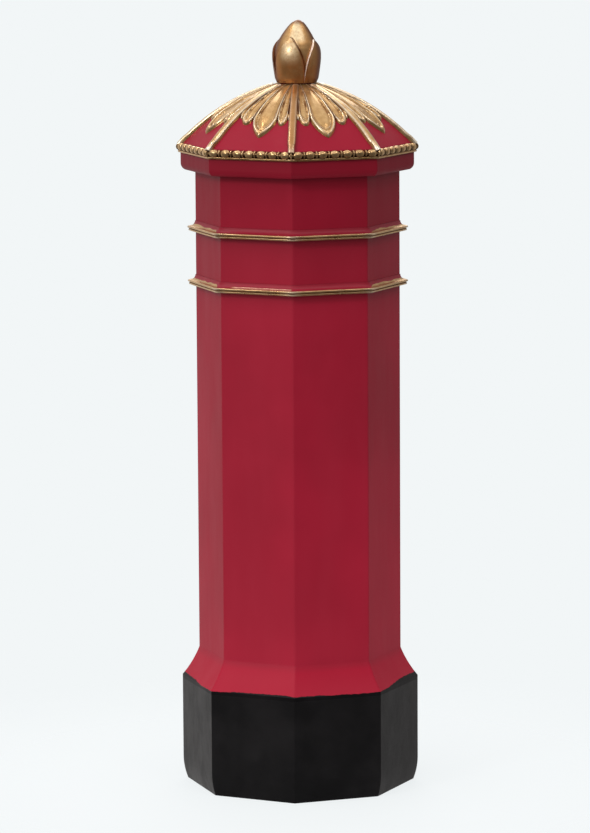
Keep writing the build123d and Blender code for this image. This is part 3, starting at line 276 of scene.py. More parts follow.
class Paint(Nodes):
    """Short calls for building one material on the Principled BSDF."""

    rounding = 0.0                              # radius that softens crisp edges, metres
    rounding_from = -1.0                        # height above which it does

    def __init__(self, name):
        self.material = bpy.data.materials.new(name)
        self.material.use_nodes = True
        super().__init__(self.material.node_tree)
        self.bsdf = self.tree.nodes["Principled BSDF"]
        self.place = self.add("ShaderNodeTexCoord").outputs["Object"]

    def noise(self, scale, detail=4.0, rough=0.55, stretch=(1, 1, 1), distortion=0.0):
        mapping = self.add("ShaderNodeMapping")
        mapping.inputs["Scale"].default_value = stretch
        self.link(self.place, mapping.inputs["Vector"])
        noise = self.add("ShaderNodeTexNoise")
        noise.inputs["Scale"].default_value = scale
        noise.inputs["Detail"].default_value = detail
        noise.inputs["Roughness"].default_value = rough
        noise.inputs["Distortion"].default_value = distortion
        self.link(mapping.outputs["Vector"], noise.inputs["Vector"])
        return noise.outputs["Fac"]

    def mix(self, factor, a, b):
        """Blend two colours or outputs, from a at factor 0 to b at factor 1."""
        # a Mix node's sockets share their names, so they are taken by number
        node = self.add("ShaderNodeMix", data_type="RGBA")
        for value, index in ((factor, 0), (a, 6), (b, 7)):
            self.put(value, node.inputs[index])
        return node.outputs[2]

    def position(self):
        """Outputs x, y and z of the place on the object, metres."""
        split = self.add("ShaderNodeSeparateXYZ")
        self.link(self.place, split.inputs["Vector"])
        return split.outputs

    def corner_distance(self, apothem):
        """Distance in metres from the nearest upright corner of an octagon."""
        x, y, _ = self.position()
        angle = self.math("ARCTAN2", y, x)
        turn = self.math("PINGPONG", self.math("SUBTRACT", angle, FACE_TURN / 2), FACE_TURN / 2)
        return self.math("MULTIPLY", turn, apothem)

    def axis_distance(self):
        """Distance in metres from the upright axis."""
        x, y, _ = self.position()
        return self.math("SQRT", self.math("ADD", self.product(x, x), self.product(y, y)))

    def around(self, direction, low, high, out_low=0.0, out_high=1.0):
        """Ramp over the cosine of the angle about Z from a level direction."""
        cosine = self.math("DIVIDE", self.along(self.place, direction), self.axis_distance())
        return self.ramp(cosine, low, high, out_low, out_high)

    def shade(self, color, roughness, metallic=0.0, specular=0.5):
        self.put(color, self.bsdf.inputs["Base Color"])
        self.put(roughness, self.bsdf.inputs["Roughness"])
        self.put(metallic, self.bsdf.inputs["Metallic"])
        self.put(specular, self.bsdf.inputs["Specular IOR Level"])

    def bump(self, *layers):
        """Bump layers of (height, strength, distance in metres), the first one lowest."""
        normal = self.rounded_normal() if self.rounding else None
        for height, strength, distance in layers:
            node = self.add("ShaderNodeBump")
            node.inputs["Strength"].default_value = strength
            node.inputs["Distance"].default_value = distance
            self.link(height, node.inputs["Height"])
            if normal is not None:
                self.link(normal, node.inputs["Normal"])
            normal = node.outputs["Normal"]
        self.link(normal, self.bsdf.inputs["Normal"])

    def rounded_normal(self):
        """Normal that softens crisp edges, above the height self.rounding_from only."""
        bevel = self.add("ShaderNodeBevel")
        bevel.samples = 4
        bevel.inputs["Radius"].default_value = self.rounding
        plain = self.add("ShaderNodeNewGeometry").outputs["Normal"]
        blend = self.add("ShaderNodeMix", data_type="VECTOR")
        self.link(self.ramp(self.position()[2], self.rounding_from, self.rounding_from + 4 * MM),
                  blend.inputs[0])
        self.link(plain, blend.inputs[4])
        self.link(bevel.outputs["Normal"], blend.inputs[5])
        return blend.outputs[1]

    def pointiness(self, low, high, out_low=0.0, out_high=1.0):
        """Where the surface stands out (high) or falls in (low)."""
        geometry = self.add("ShaderNodeNewGeometry")
        return self.ramp(geometry.outputs["Pointiness"], low, high, out_low, out_high)

    def occlusion(self, distance):
        """1 in the open, falling towards 0 in corners and hollows."""
        node = self.add("ShaderNodeAmbientOcclusion")
        node.samples = 8
        node.inputs["Distance"].default_value = distance
        return node.outputs["AO"]


# paint colours, linear
RED = (0.318, 0.0068, 0.0255)
RED_DEEP = (0.268, 0.0054, 0.0205)
RED_PALE = (0.36, 0.016, 0.040)
RED_EAVES_SHADE = (0.150, 0.0042, 0.0120)
RED_LIT_FLARE = (0.365, 0.0028, 0.0230)
RED_SCUFFED = (0.42, 0.10, 0.11)
RED_HOLLOW_SHADE = (0.105, 0.008, 0.014)
BLACK = (0.0038, 0.0031, 0.0036)
BLACK_WORN = (0.0080, 0.0066, 0.0072)
BLACK_CHALKY = (0.024, 0.021, 0.021)
GOLD = (0.56, 0.325, 0.125)
GOLD_PALE = (0.70, 0.455, 0.205)
GOLD_BROWN = (0.42, 0.175, 0.055)
GOLD_PAINTED_HIGHLIGHT = (1.0, 0.82, 0.52)
GOLD_WORN_HIGHLIT = (1.0, 0.90, 0.72)
BUD_BROWN = (0.56, 0.205, 0.062)
GILT_SHADE = (0.150, 0.045, 0.018)
BEAD_GAP_SHADE = (0.085, 0.022, 0.010)
EDGE_HIGHLIGHT_PALE = (0.96, 0.80, 0.70)
EDGE_HIGHLIGHT_DIM = (0.80, 0.55, 0.38)
SLIP_PINK = (0.92, 0.55, 0.42)
NUMERAL_BLACK = (0.020, 0.018, 0.020)
SPECK_BROWN = (0.16, 0.12, 0.09)
ENAMEL_CORNER_SHADE = (0.20, 0.15, 0.10)

GILT_METALLIC = 0.84
EAVES_SHADE_FOOT = 0.95                                # height where painted shade starts to darken the red
FASCIA_FOOT = 1.33                              # height where the painted shade deepens under the eaves
PAINT_LINE = PLINTH_TOP + 12 * MM               # where the red meets the black on the skirt
LIT_FLARE_TOP = PLINTH_TOP + 52 * MM              # the flare's painted light, a brighter red, goes up to here
LIT_FLARE_FADE = 16 * MM                            # and fades out over this height
NUMERAL_FACE = SHAFT + 4.7 * MM                 # distance of the tablet's numeral from the middle


def red_layers(n):
    """Colour, roughness and bump heights of the brushed red enamel, with painted shade and painted
    light in its colour.
    """
    cloud = n.noise(3.2, 3.0, 0.5)
    brush = n.noise(9.0, 5.0, 0.62, stretch=(2.6, 2.6, 0.50))
    grain = n.noise(520.0, 2.0, 0.6)
    color = n.mix(n.ramp(cloud, 0.33, 0.68), RED_DEEP, RED)
    color = n.mix(n.ramp(brush, 0.42, 0.80, 0.0, 0.10), color, RED_PALE)
    scuff = n.ramp(n.noise(46.0, 7.0, 0.7, distortion=0.6), 0.70, 0.79, 0.0, 0.5)
    on_corner = n.ramp(n.corner_distance(SHAFT), 0.6 * MM, 6 * MM, 1.0, 0.0)
    scuff = n.product(scuff, n.math("ADD", n.product(on_corner, 0.8), 0.16))
    color = n.mix(scuff, color, RED_SCUFFED)
    z = n.position()[2]
    # painted shade: the red darkens towards the top of the shaft, more under the eaves, and stops below
    # the roof's rim
    eaves_shade = n.math("ADD", n.ramp(z, EAVES_SHADE_FOOT, FASCIA_FOOT, 0.0, 0.42),
                  n.ramp(z, FASCIA_FOOT, FASCIA_FOOT + 15 * MM, 0.0, 0.30))
    eaves_shade = n.product(eaves_shade, n.ramp(z, RIM_Z - 12 * MM, RIM_Z, 1.0, 0.0))
    color = n.mix(eaves_shade, color, RED_EAVES_SHADE)
    # painted light: the upward-facing flare is painted a brighter red
    color = n.mix(n.ramp(z, LIT_FLARE_TOP, LIT_FLARE_TOP + LIT_FLARE_FADE, 0.65, 0.0), color, RED_LIT_FLARE)
    # painted shade: the red darkens in hollows and under overhangs
    red_hollow_shade = n.ramp(n.occlusion(18 * MM), 0.35, 1.0, 0.55, 0.0)
    color = n.mix(red_hollow_shade, color, RED_HOLLOW_SHADE)
    rough = n.math("ADD", n.ramp(brush, 0.3, 0.8, 0.44, 0.53), n.ramp(grain, 0.3, 0.7, -0.02, 0.03))
    return color, rough, brush, grain


def make_red():
    n = Paint("red_enamel")
    n.rounding = 4 * MM
    color, rough, brush, grain = red_layers(n)
    n.shade(color, rough, specular=0.11)
    swell = n.noise(5.5, 2.0, 0.5)
    n.bump((swell, 0.35, 3 * MM), (brush, 0.16, 0.6 * MM), (grain, 0.10, 0.25 * MM))
    return n.material


def black_layers(n):
    """Colour, roughness and bump heights of the black enamel on the plinth."""
    patch = n.noise(7.0, 6.0, 0.62)
    brush = n.noise(16.0, 5.0, 0.6, stretch=(1.8, 1.8, 0.9))
    grain = n.noise(430.0, 3.0, 0.65)
    color = n.mix(n.ramp(patch, 0.40, 0.75), BLACK, BLACK_WORN)
    color = n.mix(n.ramp(n.noise(60.0, 8.0, 0.72), 0.66, 0.76, 0.0, 0.4), color, BLACK_CHALKY)
    rough = n.math("ADD", n.ramp(brush, 0.3, 0.75, 0.38, 0.48), n.ramp(grain, 0.3, 0.7, -0.03, 0.05))
    return color, rough, brush, grain


def make_black():
    n = Paint("black_enamel")
    color, rough, brush, grain = black_layers(n)
    n.shade(color, rough, specular=0.36)
    swell = n.noise(9.0, 3.0, 0.5)
    n.bump((swell, 0.4, 3 * MM), (brush, 0.25, 0.9 * MM), (grain, 0.16, 0.3 * MM))
    return n.material


def make_red_over_black():
    """Column paint: red down to a hand-painted line on the skirt, black below it."""
    n = Paint("red_and_black_enamel")
    n.rounding = 7 * MM
    n.rounding_from = PLINTH_TOP + 9 * MM
    red, red_rough, red_brush, grain = red_layers(n)
    black, black_rough, _, _ = black_layers(n)
    z = n.position()[2]
    wave = n.ramp(n.noise(4.2, 2.0, 0.4, stretch=(1, 1, 0.2)), 0.3, 0.7, -5.5 * MM, 5.5 * MM)
    fray = n.ramp(n.noise(60.0, 4.0, 0.6), 0.3, 0.7, -0.8 * MM, 0.8 * MM)
    height = n.math("ADD", z, n.math("ADD", wave, fray))
    above = n.ramp(height, PAINT_LINE - 0.4 * MM, PAINT_LINE + 0.4 * MM)
    n.shade(n.mix(above, black, red), n.mix(above, black_rough, red_rough), specular=0.18)
    swell = n.noise(5.5, 2.0, 0.5)
    n.bump((swell, 0.35, 3 * MM), (above, 0.5, 0.4 * MM),
           (red_brush, 0.20, 0.8 * MM), (grain, 0.10, 0.25 * MM))
    return n.material


def gold_layers(n, wear_and_highlight=0.8):
    """Colour, roughness and bump heights of dull gilt paint, with painted shade in its hollows and wear
    with a painted highlight on its edges.
    """
    patch = n.noise(38.0, 5.0, 0.6)
    fine = n.noise(330.0, 4.0, 0.7)
    color = n.mix(n.ramp(patch, 0.36, 0.68), GOLD, GOLD_PALE)
    color = n.mix(n.ramp(fine, 0.50, 0.74, 0.0, 0.50), color, GOLD_BROWN)
    # wear and painted highlight: edges that stand out are painted pale
    color = n.mix(n.pointiness(0.512, 0.56, 0.0, wear_and_highlight), color, GOLD_WORN_HIGHLIT)
    # painted shade: the gilt darkens to a shade brown in hollows and creases
    gilt_hollow_shade = n.math("MAXIMUM", n.ramp(n.occlusion(6 * MM), 0.42, 0.93, 0.95, 0.0),
                    n.pointiness(0.435, 0.492, 0.85, 0.0))
    color = n.mix(gilt_hollow_shade, color, GILT_SHADE)
    rough = n.math("ADD", n.ramp(patch, 0.3, 0.7, 0.26, 0.36), n.product(gilt_hollow_shade, 0.3))
    return color, rough, patch, fine


def make_gold():
    n = Paint("gilt_paint")
    color, rough, patch, fine = gold_layers(n)
    n.shade(color, rough, metallic=GILT_METALLIC)
    n.bump((patch, 0.22, 1 * MM), (fine, 0.16, 0.3 * MM))
    return n.material


def make_bud_gold():
    """Gilt of the bud: brown at the foot, painted shade round the sides and at the tip, painted
    highlights on two crowns.
    """
    n = Paint("gilt_paint_bud")
    color, rough, patch, fine = gold_layers(n, wear_and_highlight=0.10)
    z = n.position()[2]

    def between(low, high, out_low=0.0, out_high=1.0):
        """Ramp over the height above the bud's foot, millimetres."""
        return n.ramp(z, BUD_LOW.z + low * MM, BUD_LOW.z + high * MM, out_low, out_high)

    blotch = n.ramp(n.noise(30.0, 6.0, 0.65), 0.38, 0.62, 0.55, 1.0)
    color = n.mix(n.product(between(10, 92, 1.0, 0.25), blotch), color, BUD_BROWN)
    # painted shade: the bud darkens round its sides, away from the corner nearest the camera
    bud_side_shade = n.product(n.around(NEAR_CORNER, 0.30, 0.82, 1.0, 0.0), n.around(NEAR_CORNER, -0.65, -0.20))
    color = n.mix(n.product(bud_side_shade, 0.92), color, GILT_SHADE)
    # painted highlights: pale gilt on the front petal and on the heart above it
    on_petal = n.product(n.around(PETAL_HIGHLIGHT_SIDE, 0.88, 0.995), between(34, 66), between(80, 94, 0.8, 0.0))
    on_heart = n.product(n.around(HEART_HIGHLIGHT_SIDE, 0.84, 0.99), between(82, 98))
    bud_highlight = n.math("MAXIMUM", on_petal, on_heart)
    speckle = n.ramp(n.noise(210.0, 4.0, 0.7), 0.36, 0.60, 0.5, 1.0)
    color = n.mix(n.product(bud_highlight, speckle, 0.9), color, GOLD_PAINTED_HIGHLIGHT)
    # painted shade: the tip darkens to a shade brown
    color = n.mix(n.ramp(z, BUD_HIGH.z - 14 * MM, BUD_HIGH.z - 2 * MM, 0.0, 0.85), color, GILT_SHADE)
    metallic = n.math("SUBTRACT", 0.86, n.product(bud_highlight, 0.30))
    n.shade(color, n.math("ADD", rough, 0.10), metallic)
    streak = n.noise(60.0, 4.0, 0.6, stretch=(1.0, 1.0, 0.25))
    n.bump((streak, 0.25, 1.2 * MM), (patch, 0.2, 1 * MM), (fine, 0.30, 0.5 * MM))
    return n.material


def make_rib_gold():
    """Gilt of the ribs, with painted shade, browner, on the rib at the near corner."""
    n = Paint("gilt_paint_ribs")
    color, rough, patch, fine = gold_layers(n, wear_and_highlight=0.9)
    # painted shade: the rib nearest the camera is painted browner
    near_rib_shade = n.around(NEAR_CORNER, 0.97, 0.995)
    color = n.mix(n.product(near_rib_shade, 0.62), color, GOLD_BROWN)
    n.shade(color, rough, metallic=GILT_METALLIC)
    n.bump((patch, 0.30, 1.2 * MM), (fine, 0.20, 0.4 * MM))
    return n.material


def make_bead_gold():
    """Gilt with painted shade between the beads, and little wear and painted highlight on its edges."""
    n = Paint("gilt_paint_beads")
    color, rough, patch, fine = gold_layers(n, wear_and_highlight=0.12)
    # painted shade: dark brown between the beads
    bead_gap_shade = n.ramp(n.occlusion(9 * MM), 0.35, 0.85, 0.9, 0.0)
    n.shade(n.mix(bead_gap_shade, color, BEAD_GAP_SHADE), rough, metallic=0.90)
    n.bump((patch, 0.22, 1 * MM), (fine, 0.16, 0.3 * MM))
    return n.material


def make_highlit_edge_gold():
    """Gilt with a painted highlight along a petal's thick edge."""
    n = Paint("gilt_painted_highlight_edge")
    patch = n.noise(90.0, 5.0, 0.6)
    n.shade(n.mix(n.ramp(patch, 0.35, 0.7), EDGE_HIGHLIGHT_PALE, EDGE_HIGHLIGHT_DIM), 0.34, metallic=0.25)
    n.bump((patch, 0.3, 0.6 * MM))
    return n.material


def make_ring_paint():
    """Gilt nose of each ring, red cove above it, with an uneven line between them."""
    n = Paint("gilt_and_red_ring")
    red, red_rough, _, _ = red_layers(n)
    gold, gold_rough, patch, fine = gold_layers(n, wear_and_highlight=0.5)
    x, y, z = n.position()
    angle = n.math("PINGPONG", n.math("ARCTAN2", y, x), FACE_TURN / 2)
    reach = n.product(n.axis_distance(), n.math("COSINE", angle))
    ragged = n.ramp(n.noise(24.0, 3.0, 0.5), 0.3, 0.7, -1.1 * MM, 1.1 * MM)
    # the gilding climbs further up the cove away from the two faces beside the near corner
    nearness = n.math("DIVIDE", n.along(n.place, NEAR_CORNER), reach)
    edge = n.ramp(nearness, 0.66, 0.80, SHAFT + 4.2 * MM, SHAFT + 11.0 * MM)
    gilt = n.ramp(n.math("SUBTRACT", n.math("ADD", reach, ragged), edge), -0.4 * MM, 0.6 * MM)
    # a slip of the brush along the cove of the lower ring, on the face that looks along +Y
    in_cove = n.product(n.ramp(reach, SHAFT + 4.6 * MM, SHAFT + 5.2 * MM),
                        n.ramp(reach, SHAFT + 8.4 * MM, SHAFT + 9.0 * MM, 1.0, 0.0))
    on_face_y = n.ramp(y, SHAFT + 2.7 * MM, SHAFT + 4.7 * MM)
    between_ends = n.product(n.ramp(x, 45 * MM, 60 * MM, 1.0, 0.0), n.ramp(x, -86 * MM, -80 * MM))
    on_lower_ring = n.ramp(z, RING_GAP_Z - 5 * MM, RING_GAP_Z + 5 * MM, 1.0, 0.0)
    slip = n.product(in_cove, on_face_y, between_ends, on_lower_ring)
    gilt = n.math("MAXIMUM", gilt, slip)
    gold = n.mix(slip, gold, SLIP_PINK)
    n.shade(n.mix(gilt, red, gold), n.mix(gilt, red_rough, gold_rough),
            metallic=n.product(gilt, GILT_METALLIC), specular=0.3)
    n.bump((patch, 0.25, 1 * MM), (fine, 0.2, 0.4 * MM))
    return n.material


def make_metal(name, dark, light, rough, metallic=1.0, brushed=(1, 1, 1)):
    """Bare or plated metal with brush lines, stains, uneven gloss and painted shade in its hollows."""
    n = Paint(name)
    stain = n.noise(24.0, 6.0, 0.62)
    lines = n.noise(240.0, 4.0, 0.6, stretch=brushed)
    color = n.mix(n.ramp(stain, 0.32, 0.70), dark, light)
    # painted shade: the metal darkens in hollows
    metal_hollow_shade = tuple(0.35 * c for c in dark)
    color = n.mix(n.ramp(n.occlusion(6 * MM), 0.3, 0.9, 0.6, 0.0), color, metal_hollow_shade)
    uneven = n.math("ADD", n.ramp(stain, 0.3, 0.7, rough + 0.09, rough - 0.05),
                    n.ramp(lines, 0.3, 0.7, -0.04, 0.06))
    n.shade(color, uneven, metallic)
    n.bump((stain, 0.18, 0.6 * MM), (lines, 0.18, 0.2 * MM))
    return n.material


def make_enamel(name, color, stain_color, numeral_face=None):
    """Vitreous enamel with stains, specks and painted shade, browner, in its corners, black beyond
    numeral_face.
    """
    n = Paint(name)
    cloud = n.noise(18.0, 5.0, 0.6)
    speck = n.noise(260.0, 3.0, 0.7)
    base = n.mix(n.ramp(cloud, 0.35, 0.75, 0.0, 0.5), color, stain_color)
    base = n.mix(n.ramp(speck, 0.70, 0.76, 0.0, 0.6), base, SPECK_BROWN)
    # painted shade: the enamel turns browner in corners
    base = n.mix(n.ramp(n.occlusion(6 * MM), 0.3, 0.9, 0.6, 0.0), base, ENAMEL_CORNER_SHADE)
    if numeral_face is not None:
        proud = n.product(n.position()[1], -1.0)
        base = n.mix(n.ramp(proud, numeral_face, numeral_face + 0.05 * MM), base, NUMERAL_BLACK)
    n.shade(base, n.ramp(cloud, 0.3, 0.7, 0.14, 0.24))
    n.bump((cloud, 0.2, 0.8 * MM), (speck, 0.12, 0.2 * MM))
    return n.material


FINISHES = {
    "red_paint": make_red(),
    "ring_paint": make_ring_paint(),
    "black_paint": make_black(),
    "gold_paint": make_gold(),
    "steel": make_metal("zinc_steel", (0.34, 0.34, 0.35), (0.52, 0.52, 0.52), 0.36),
    "grey_steel": make_metal("grey_primer", (0.10, 0.105, 0.11), (0.17, 0.175, 0.18), 0.52,
                             metallic=0.0),
    "lock_iron": make_metal("black_iron", (0.030, 0.030, 0.032), (0.070, 0.068, 0.066), 0.46,
                            metallic=0.6),
    "brass": make_metal("worn_brass", (0.38, 0.23, 0.075), (0.66, 0.46, 0.17), 0.28,
                        brushed=(1, 1, 0.1)),
    "cream_enamel": make_enamel("cream_enamel", (0.74, 0.69, 0.55), (0.62, 0.53, 0.36)),
    "white_enamel": make_enamel("white_enamel", (0.80, 0.79, 0.74), (0.68, 0.64, 0.54), NUMERAL_FACE),
    "wire": make_metal("galvanised_wire", (0.30, 0.31, 0.32), (0.50, 0.51, 0.52), 0.42),
}
COLUMN_PAINT = make_red_over_black()
BUD_GOLD = make_bud_gold()
BEAD_GOLD = make_bead_gold()
RIB_GOLD = make_rib_gold()
HIGHLIT_EDGE_GOLD = make_highlit_edge_gold()


def paint_cad_nodes():
    """Every carried-over CAD node takes the finish of its slot."""
    for part in frame["record"]["subparts"]:
        name = part["node"]
        finish = COLUMN_PAINT if name == "column" else FINISHES[part["material_slot"]]
        mesh = nodes[name].data
        mesh.materials.clear()
        mesh.materials.append(finish)


# ---------------------------------------------------------------- acanthus leaves
class Lobe:
    """One tongue of a leaf: straight rays from the bud, then a rounded point."""

    def __init__(self, slope, spread, shoulder, tip, fullness, power):
        self.slope = slope          # sideways over apothem along the middle line
        self.spread = spread        # half width over apothem below the shoulder
        self.shoulder = shoulder * MM
        self.tip = tip * MM
        self.fullness = fullness    # exponents of the rounded point
        self.power = power

    def middle(self, a):
        return self.slope * np.minimum(a, (self.shoulder + self.tip) / 2)

    def half_width(self, a):
        base = self.spread * np.minimum(a, self.shoulder)
        share = np.clip((a - self.shoulder) / (self.tip - self.shoulder), 0, 1)
        return base * (1 - share ** self.power) ** self.fullness

    def outline(self, root, count=150):
        """Points up one side and down the other, closer together towards the tip."""
        share = 1 - np.linspace(1, 0, count) ** 1.7
        a = root + (self.tip - root) * share
        middle, half = self.middle(a), self.half_width(a)
        return np.concatenate([np.stack([a, middle - half], 1),
                               np.stack([a, middle + half], 1)[::-1]])

    def inside(self, a, w):
        return (a < self.tip) & (np.abs(w - self.middle(a)) < self.half_width(a))


def distance_to(outline, a, w):
    """Distance of grid points to a polyline of the leaf pattern."""
    best = np.full(a.shape, 1e9)
    for (a0, w0), (a1, w1) in zip(outline[:-1], outline[1:]):
        da, dw = a1 - a0, w1 - w0
        size = da * da + dw * dw
        if size < 1e-16:
            continue
        t = np.clip(((a - a0) * da + (w - w0) * dw) / size, 0, 1)
        best = np.minimum(best, np.hypot(a - a0 - t * da, w - w0 - t * dw))
    return best


# share of the way from a lobe's outer outline to its inner one, and the height there
LIP_SHARE = (0.0, 0.10, 0.26, 0.42, 0.58, 0.65, 0.72, 0.79, 0.86, 0.93, 1.0)
LIP_HEIGHT = (0.2, 4.2, 6.4, 6.2, 3.8, 2.5, 4.2, 2.4, 4.0, 2.2, 1.6)

# middle line's slope; outer and inner outline as spread, shoulder and tip in mm, fullness and
# power; share of the full height
LOBE_TABLE = [
    (0.0, (0.170, 163, 204.5, 0.76, 1.9), (0.108, 150, 184.5, 0.5, 2.2), 1.0),
    (0.247, (0.082, 153, 178, 0.5, 2.6), (0.047, 140, 162, 0.5, 2.2), 0.86),
    (0.352, (0.038, 144, 164, 0.5, 2.4), (0.016, 130, 150, 0.5, 2.2), 0.66),
]
LEAF_LOBES = [(Lobe(slope * side, *outer), Lobe(slope * side, *inner), top)
              for slope, outer, inner, top in LOBE_TABLE
              for side in ((-1, 1) if slope else (1,))]

LEAF_ROOT = 40 * MM                             # apothem at the bud
LEAF_TIP = LEAF_LOBES[0][0].tip
LEAF_MARGIN = 3 * MM                            # room round the leaf: to the ribs, past the tip
LEAF_ROWS, LEAF_COLUMNS = 150, 117
LEAF_DRIFT = (1.5, -2.0, 8.0, -3.0, 2.0, -1.5, 1.0, -2.5)   # sideways at the tips, by face, mm
SINK = -1.6 * MM                                # how far a leaf's margin goes into the roof


def lobe_height(outer, inner, top, a, w):
    """Height of one lobe over the roof: rolled lip, two fine ridges, low tongue."""
    to_outer = distance_to(outer.outline(LEAF_ROOT * 0.5), a, w)
    to_inner = distance_to(inner.outline(LEAF_ROOT * 0.5), a, w)
    in_outer, in_inner = outer.inside(a, w), inner.inside(a, w)
    share = to_outer / np.maximum(to_outer + to_inner, 1e-9)
    height = np.interp(share, LIP_SHARE, LIP_HEIGHT) * MM
    tongue = (1.6 + 2.2 * np.clip(to_inner / (7 * MM), 0, 1) ** 0.7) * MM
    height = np.where(in_inner, tongue, height)
    # rays get flatter where they crowd together at the bud
    height = height * top * (0.34 + 0.66 * np.clip((a - LEAF_ROOT) / (95 * MM), 0, 1))
    outside = np.maximum(-1.3 * to_outer, SINK)
    return np.where(in_outer, height, outside)


def make_leaves():
    """Eight relief leaves between the ribs, each a dense sheet that sinks into the roof."""
    share = np.linspace(0, 1, LEAF_ROWS)
    rows = LEAF_ROOT + (LEAF_TIP + LEAF_MARGIN - LEAF_ROOT) * share
    columns = np.linspace(-1, 1, LEAF_COLUMNS)
    a, c = np.meshgrid(rows, columns, indexing="ij")
    w = c * (a * HALF_FACE - LEAF_MARGIN)
    relief = np.full(a.shape, SINK)
    for outer, inner, top in LEAF_LOBES:
        relief = np.maximum(relief, lobe_height(outer, inner, top, a, w))
    shown = relief > SINK * 0.98
    keep = shown[:-1, :-1] | shown[1:, :-1] | shown[:-1, 1:] | shown[1:, 1:]
    # how much of the drift a point takes: all at the tip's middle, none at the root or the ribs
    drifting = (a / LEAF_TIP) ** 1.3 * (1 - (np.abs(w) / (a * HALF_FACE)) ** 3)
    shape = Shape()
    for turn in range(8):
        swell = 1 + 0.05 * np.sin(3.1 * turn + 31 * a / LEAF_TIP) * np.cos(1.7 * turn + 90 * w)
        out, up = roof_section(a, relief * np.where(relief > 0, swell, 1.0) + 0.1 * MM)
        shape.grid(on_face(turn, out, w + LEAF_DRIFT[turn] * MM * drifting, up), keep)
    piece_from("acanthus_relief", shape, FINISHES["gold_paint"],
               ["acanthus_leaves"], angle=60)


# ---------------------------------------------------------------- ribs, beads, rings
def make_ribs():
    """Raised strips with rounded edges over the roof's corners, narrower and taller at the foot."""
    shape = Shape()
    # section across a rib: sideways and height in millimetres
    section = [(-7.4, -2.5), (-7.2, 1.5), (-6.6, 4.4), (-5.2, 6.0), (-3.0, 6.6), (0.0, 6.8),
               (3.0, 6.6), (5.2, 6.0), (6.6, 4.4), (7.2, 1.5), (7.4, -2.5)]
    foot = BEAD_HIGH.x * CORNER - 10 * MM
    foot_length = 19 * MM
    crown = 50 * MM
    count = 44
    for turn in range(8):
        angle = (turn + 0.5) * FACE_TURN
        radial = np.array((math.cos(angle), math.sin(angle), 0.0))
        across = np.array((-math.sin(angle), math.cos(angle), 0.0))
        rows = []
        for k in range(count + 1):
            radius = crown + (foot - crown) * k / count
            apothem = radius / CORNER
            out, up = roof_section(np.array(apothem), 0.0)
            run = (apothem - ROOF_CENTRE[0]) / ROOF_RADIUS
            lean = np.array((run, math.sqrt(1 - run * run)))
            near_foot = min(max((radius - foot + foot_length) / (5 * MM), 0.0), 1.0)
            wide = 1.0 + 0.20 * k / count - 0.22 * near_foot
            tall = 0.72 + 0.30 * min(k / count * 2.2, 1.0) + 0.22 * near_foot
            row = []
            for side, height in section:
                rise = height * tall * MM
                point = (radial * (out * CORNER + lean[0] * rise) + across * side * wide * MM
                         + np.array((0, 0, up + lean[1] * rise)))
                row.append(point)
            rows.append(row)
        shape.grid(np.array(rows))
        shape.fan(rows[0], np.mean(rows[0], axis=0))
        shape.fan(rows[-1], np.mean(rows[-1], axis=0))
    piece_from("gilt_ribs", shape, RIB_GOLD, ["roof_ribs"], angle=50)


BEADS_PER_FACE = 7


def level_across(angle):
    """Unit vector at right angles to the outward direction at an angle about Z."""
    return Vector((-math.sin(angle), math.cos(angle), 0))


def make_beads():
    """Barrels and thin reels threaded along the eaves, over a rounded lower lip."""
    shape = Shape()
    bead_radius = 8.1 * MM
    apothem = BEAD_HIGH.x - bead_radius - 0.3 * MM
    middle = BEAD_HIGH.z - bead_radius + 0.4 * MM
    face_length = 2 * apothem * HALF_FACE
    pitch = face_length / BEADS_PER_FACE
    barrel_half = 0.385 * pitch
    reel_half = 1.9 * MM
    # offset along the thread and radius, as shares of the bead's own
    barrel = [(t, max((1 - abs(t) ** 2.6) ** 0.42, 0.42))
              for t in np.sin(np.linspace(-1, 1, 13) * math.pi / 2)]
    reel = [(-1.0, 0.55), (-0.75, 0.86), (-0.3, 0.98), (0.3, 0.98), (0.75, 0.86), (1.0, 0.55)]
    for turn in range(8):
        angle = turn * FACE_TURN
        along = level_across(angle)
        outward = Vector((math.cos(angle), math.sin(angle), 0))
        for k in range(BEADS_PER_FACE):
            side = (k + 0.5) * pitch - face_length / 2
            centre = outward * apothem + along * (side + chance.uniform(-0.4, 0.4) * MM)
            centre.z = middle + chance.uniform(-0.3, 0.3) * MM
            size = bead_radius * chance.uniform(0.96, 1.02)
            tilt = along + Vector((0, 0, chance.uniform(-0.03, 0.03)))
            lathe(shape, centre, tilt, [size * r for _, r in barrel],
                  [barrel_half * t for t, _ in barrel])
            at_corner = k == BEADS_PER_FACE - 1
            heading = level_across(angle + FACE_TURN / 2) if at_corner else along
            centre = outward * apothem + along * (side + pitch / 2)
            centre.z = middle
            lathe(shape, centre, heading, [bead_radius * 0.98 * r for _, r in reel],
                  [reel_half * t for t, _ in reel])
    thread = arc((apothem, middle), 4.0 * MM, 0, 330, 11)
    octagon_sweep(shape, thread)
    lip_base = BEAD_LOW.z
    lip_top = lip_base + 6.2 * MM
    lip = ([(RIM - 2 * MM, lip_base), (apothem - 2.5 * MM, lip_base)]
           + arc((apothem + 0.6 * MM, lip_base + 2.9 * MM), 2.9 * MM, -75, 75, 8)
           + [(apothem - 2 * MM, lip_top), (RIM - 2 * MM, lip_top)])
    octagon_sweep(shape, lip, steps=16, wobble=0.5 * MM)
    back = [(RIM - 3 * MM, lip_base + 6 * MM), (apothem - 2 * MM, lip_base + 6 * MM),
            (apothem - 3.5 * MM, BEAD_HIGH.z - 1.5 * MM), (RIM - 3 * MM, BEAD_HIGH.z - 0.4 * MM)]
    octagon_sweep(shape, back)
    piece_from("bead_and_reel", shape, BEAD_GOLD, ["bead_moulding"], angle=42)


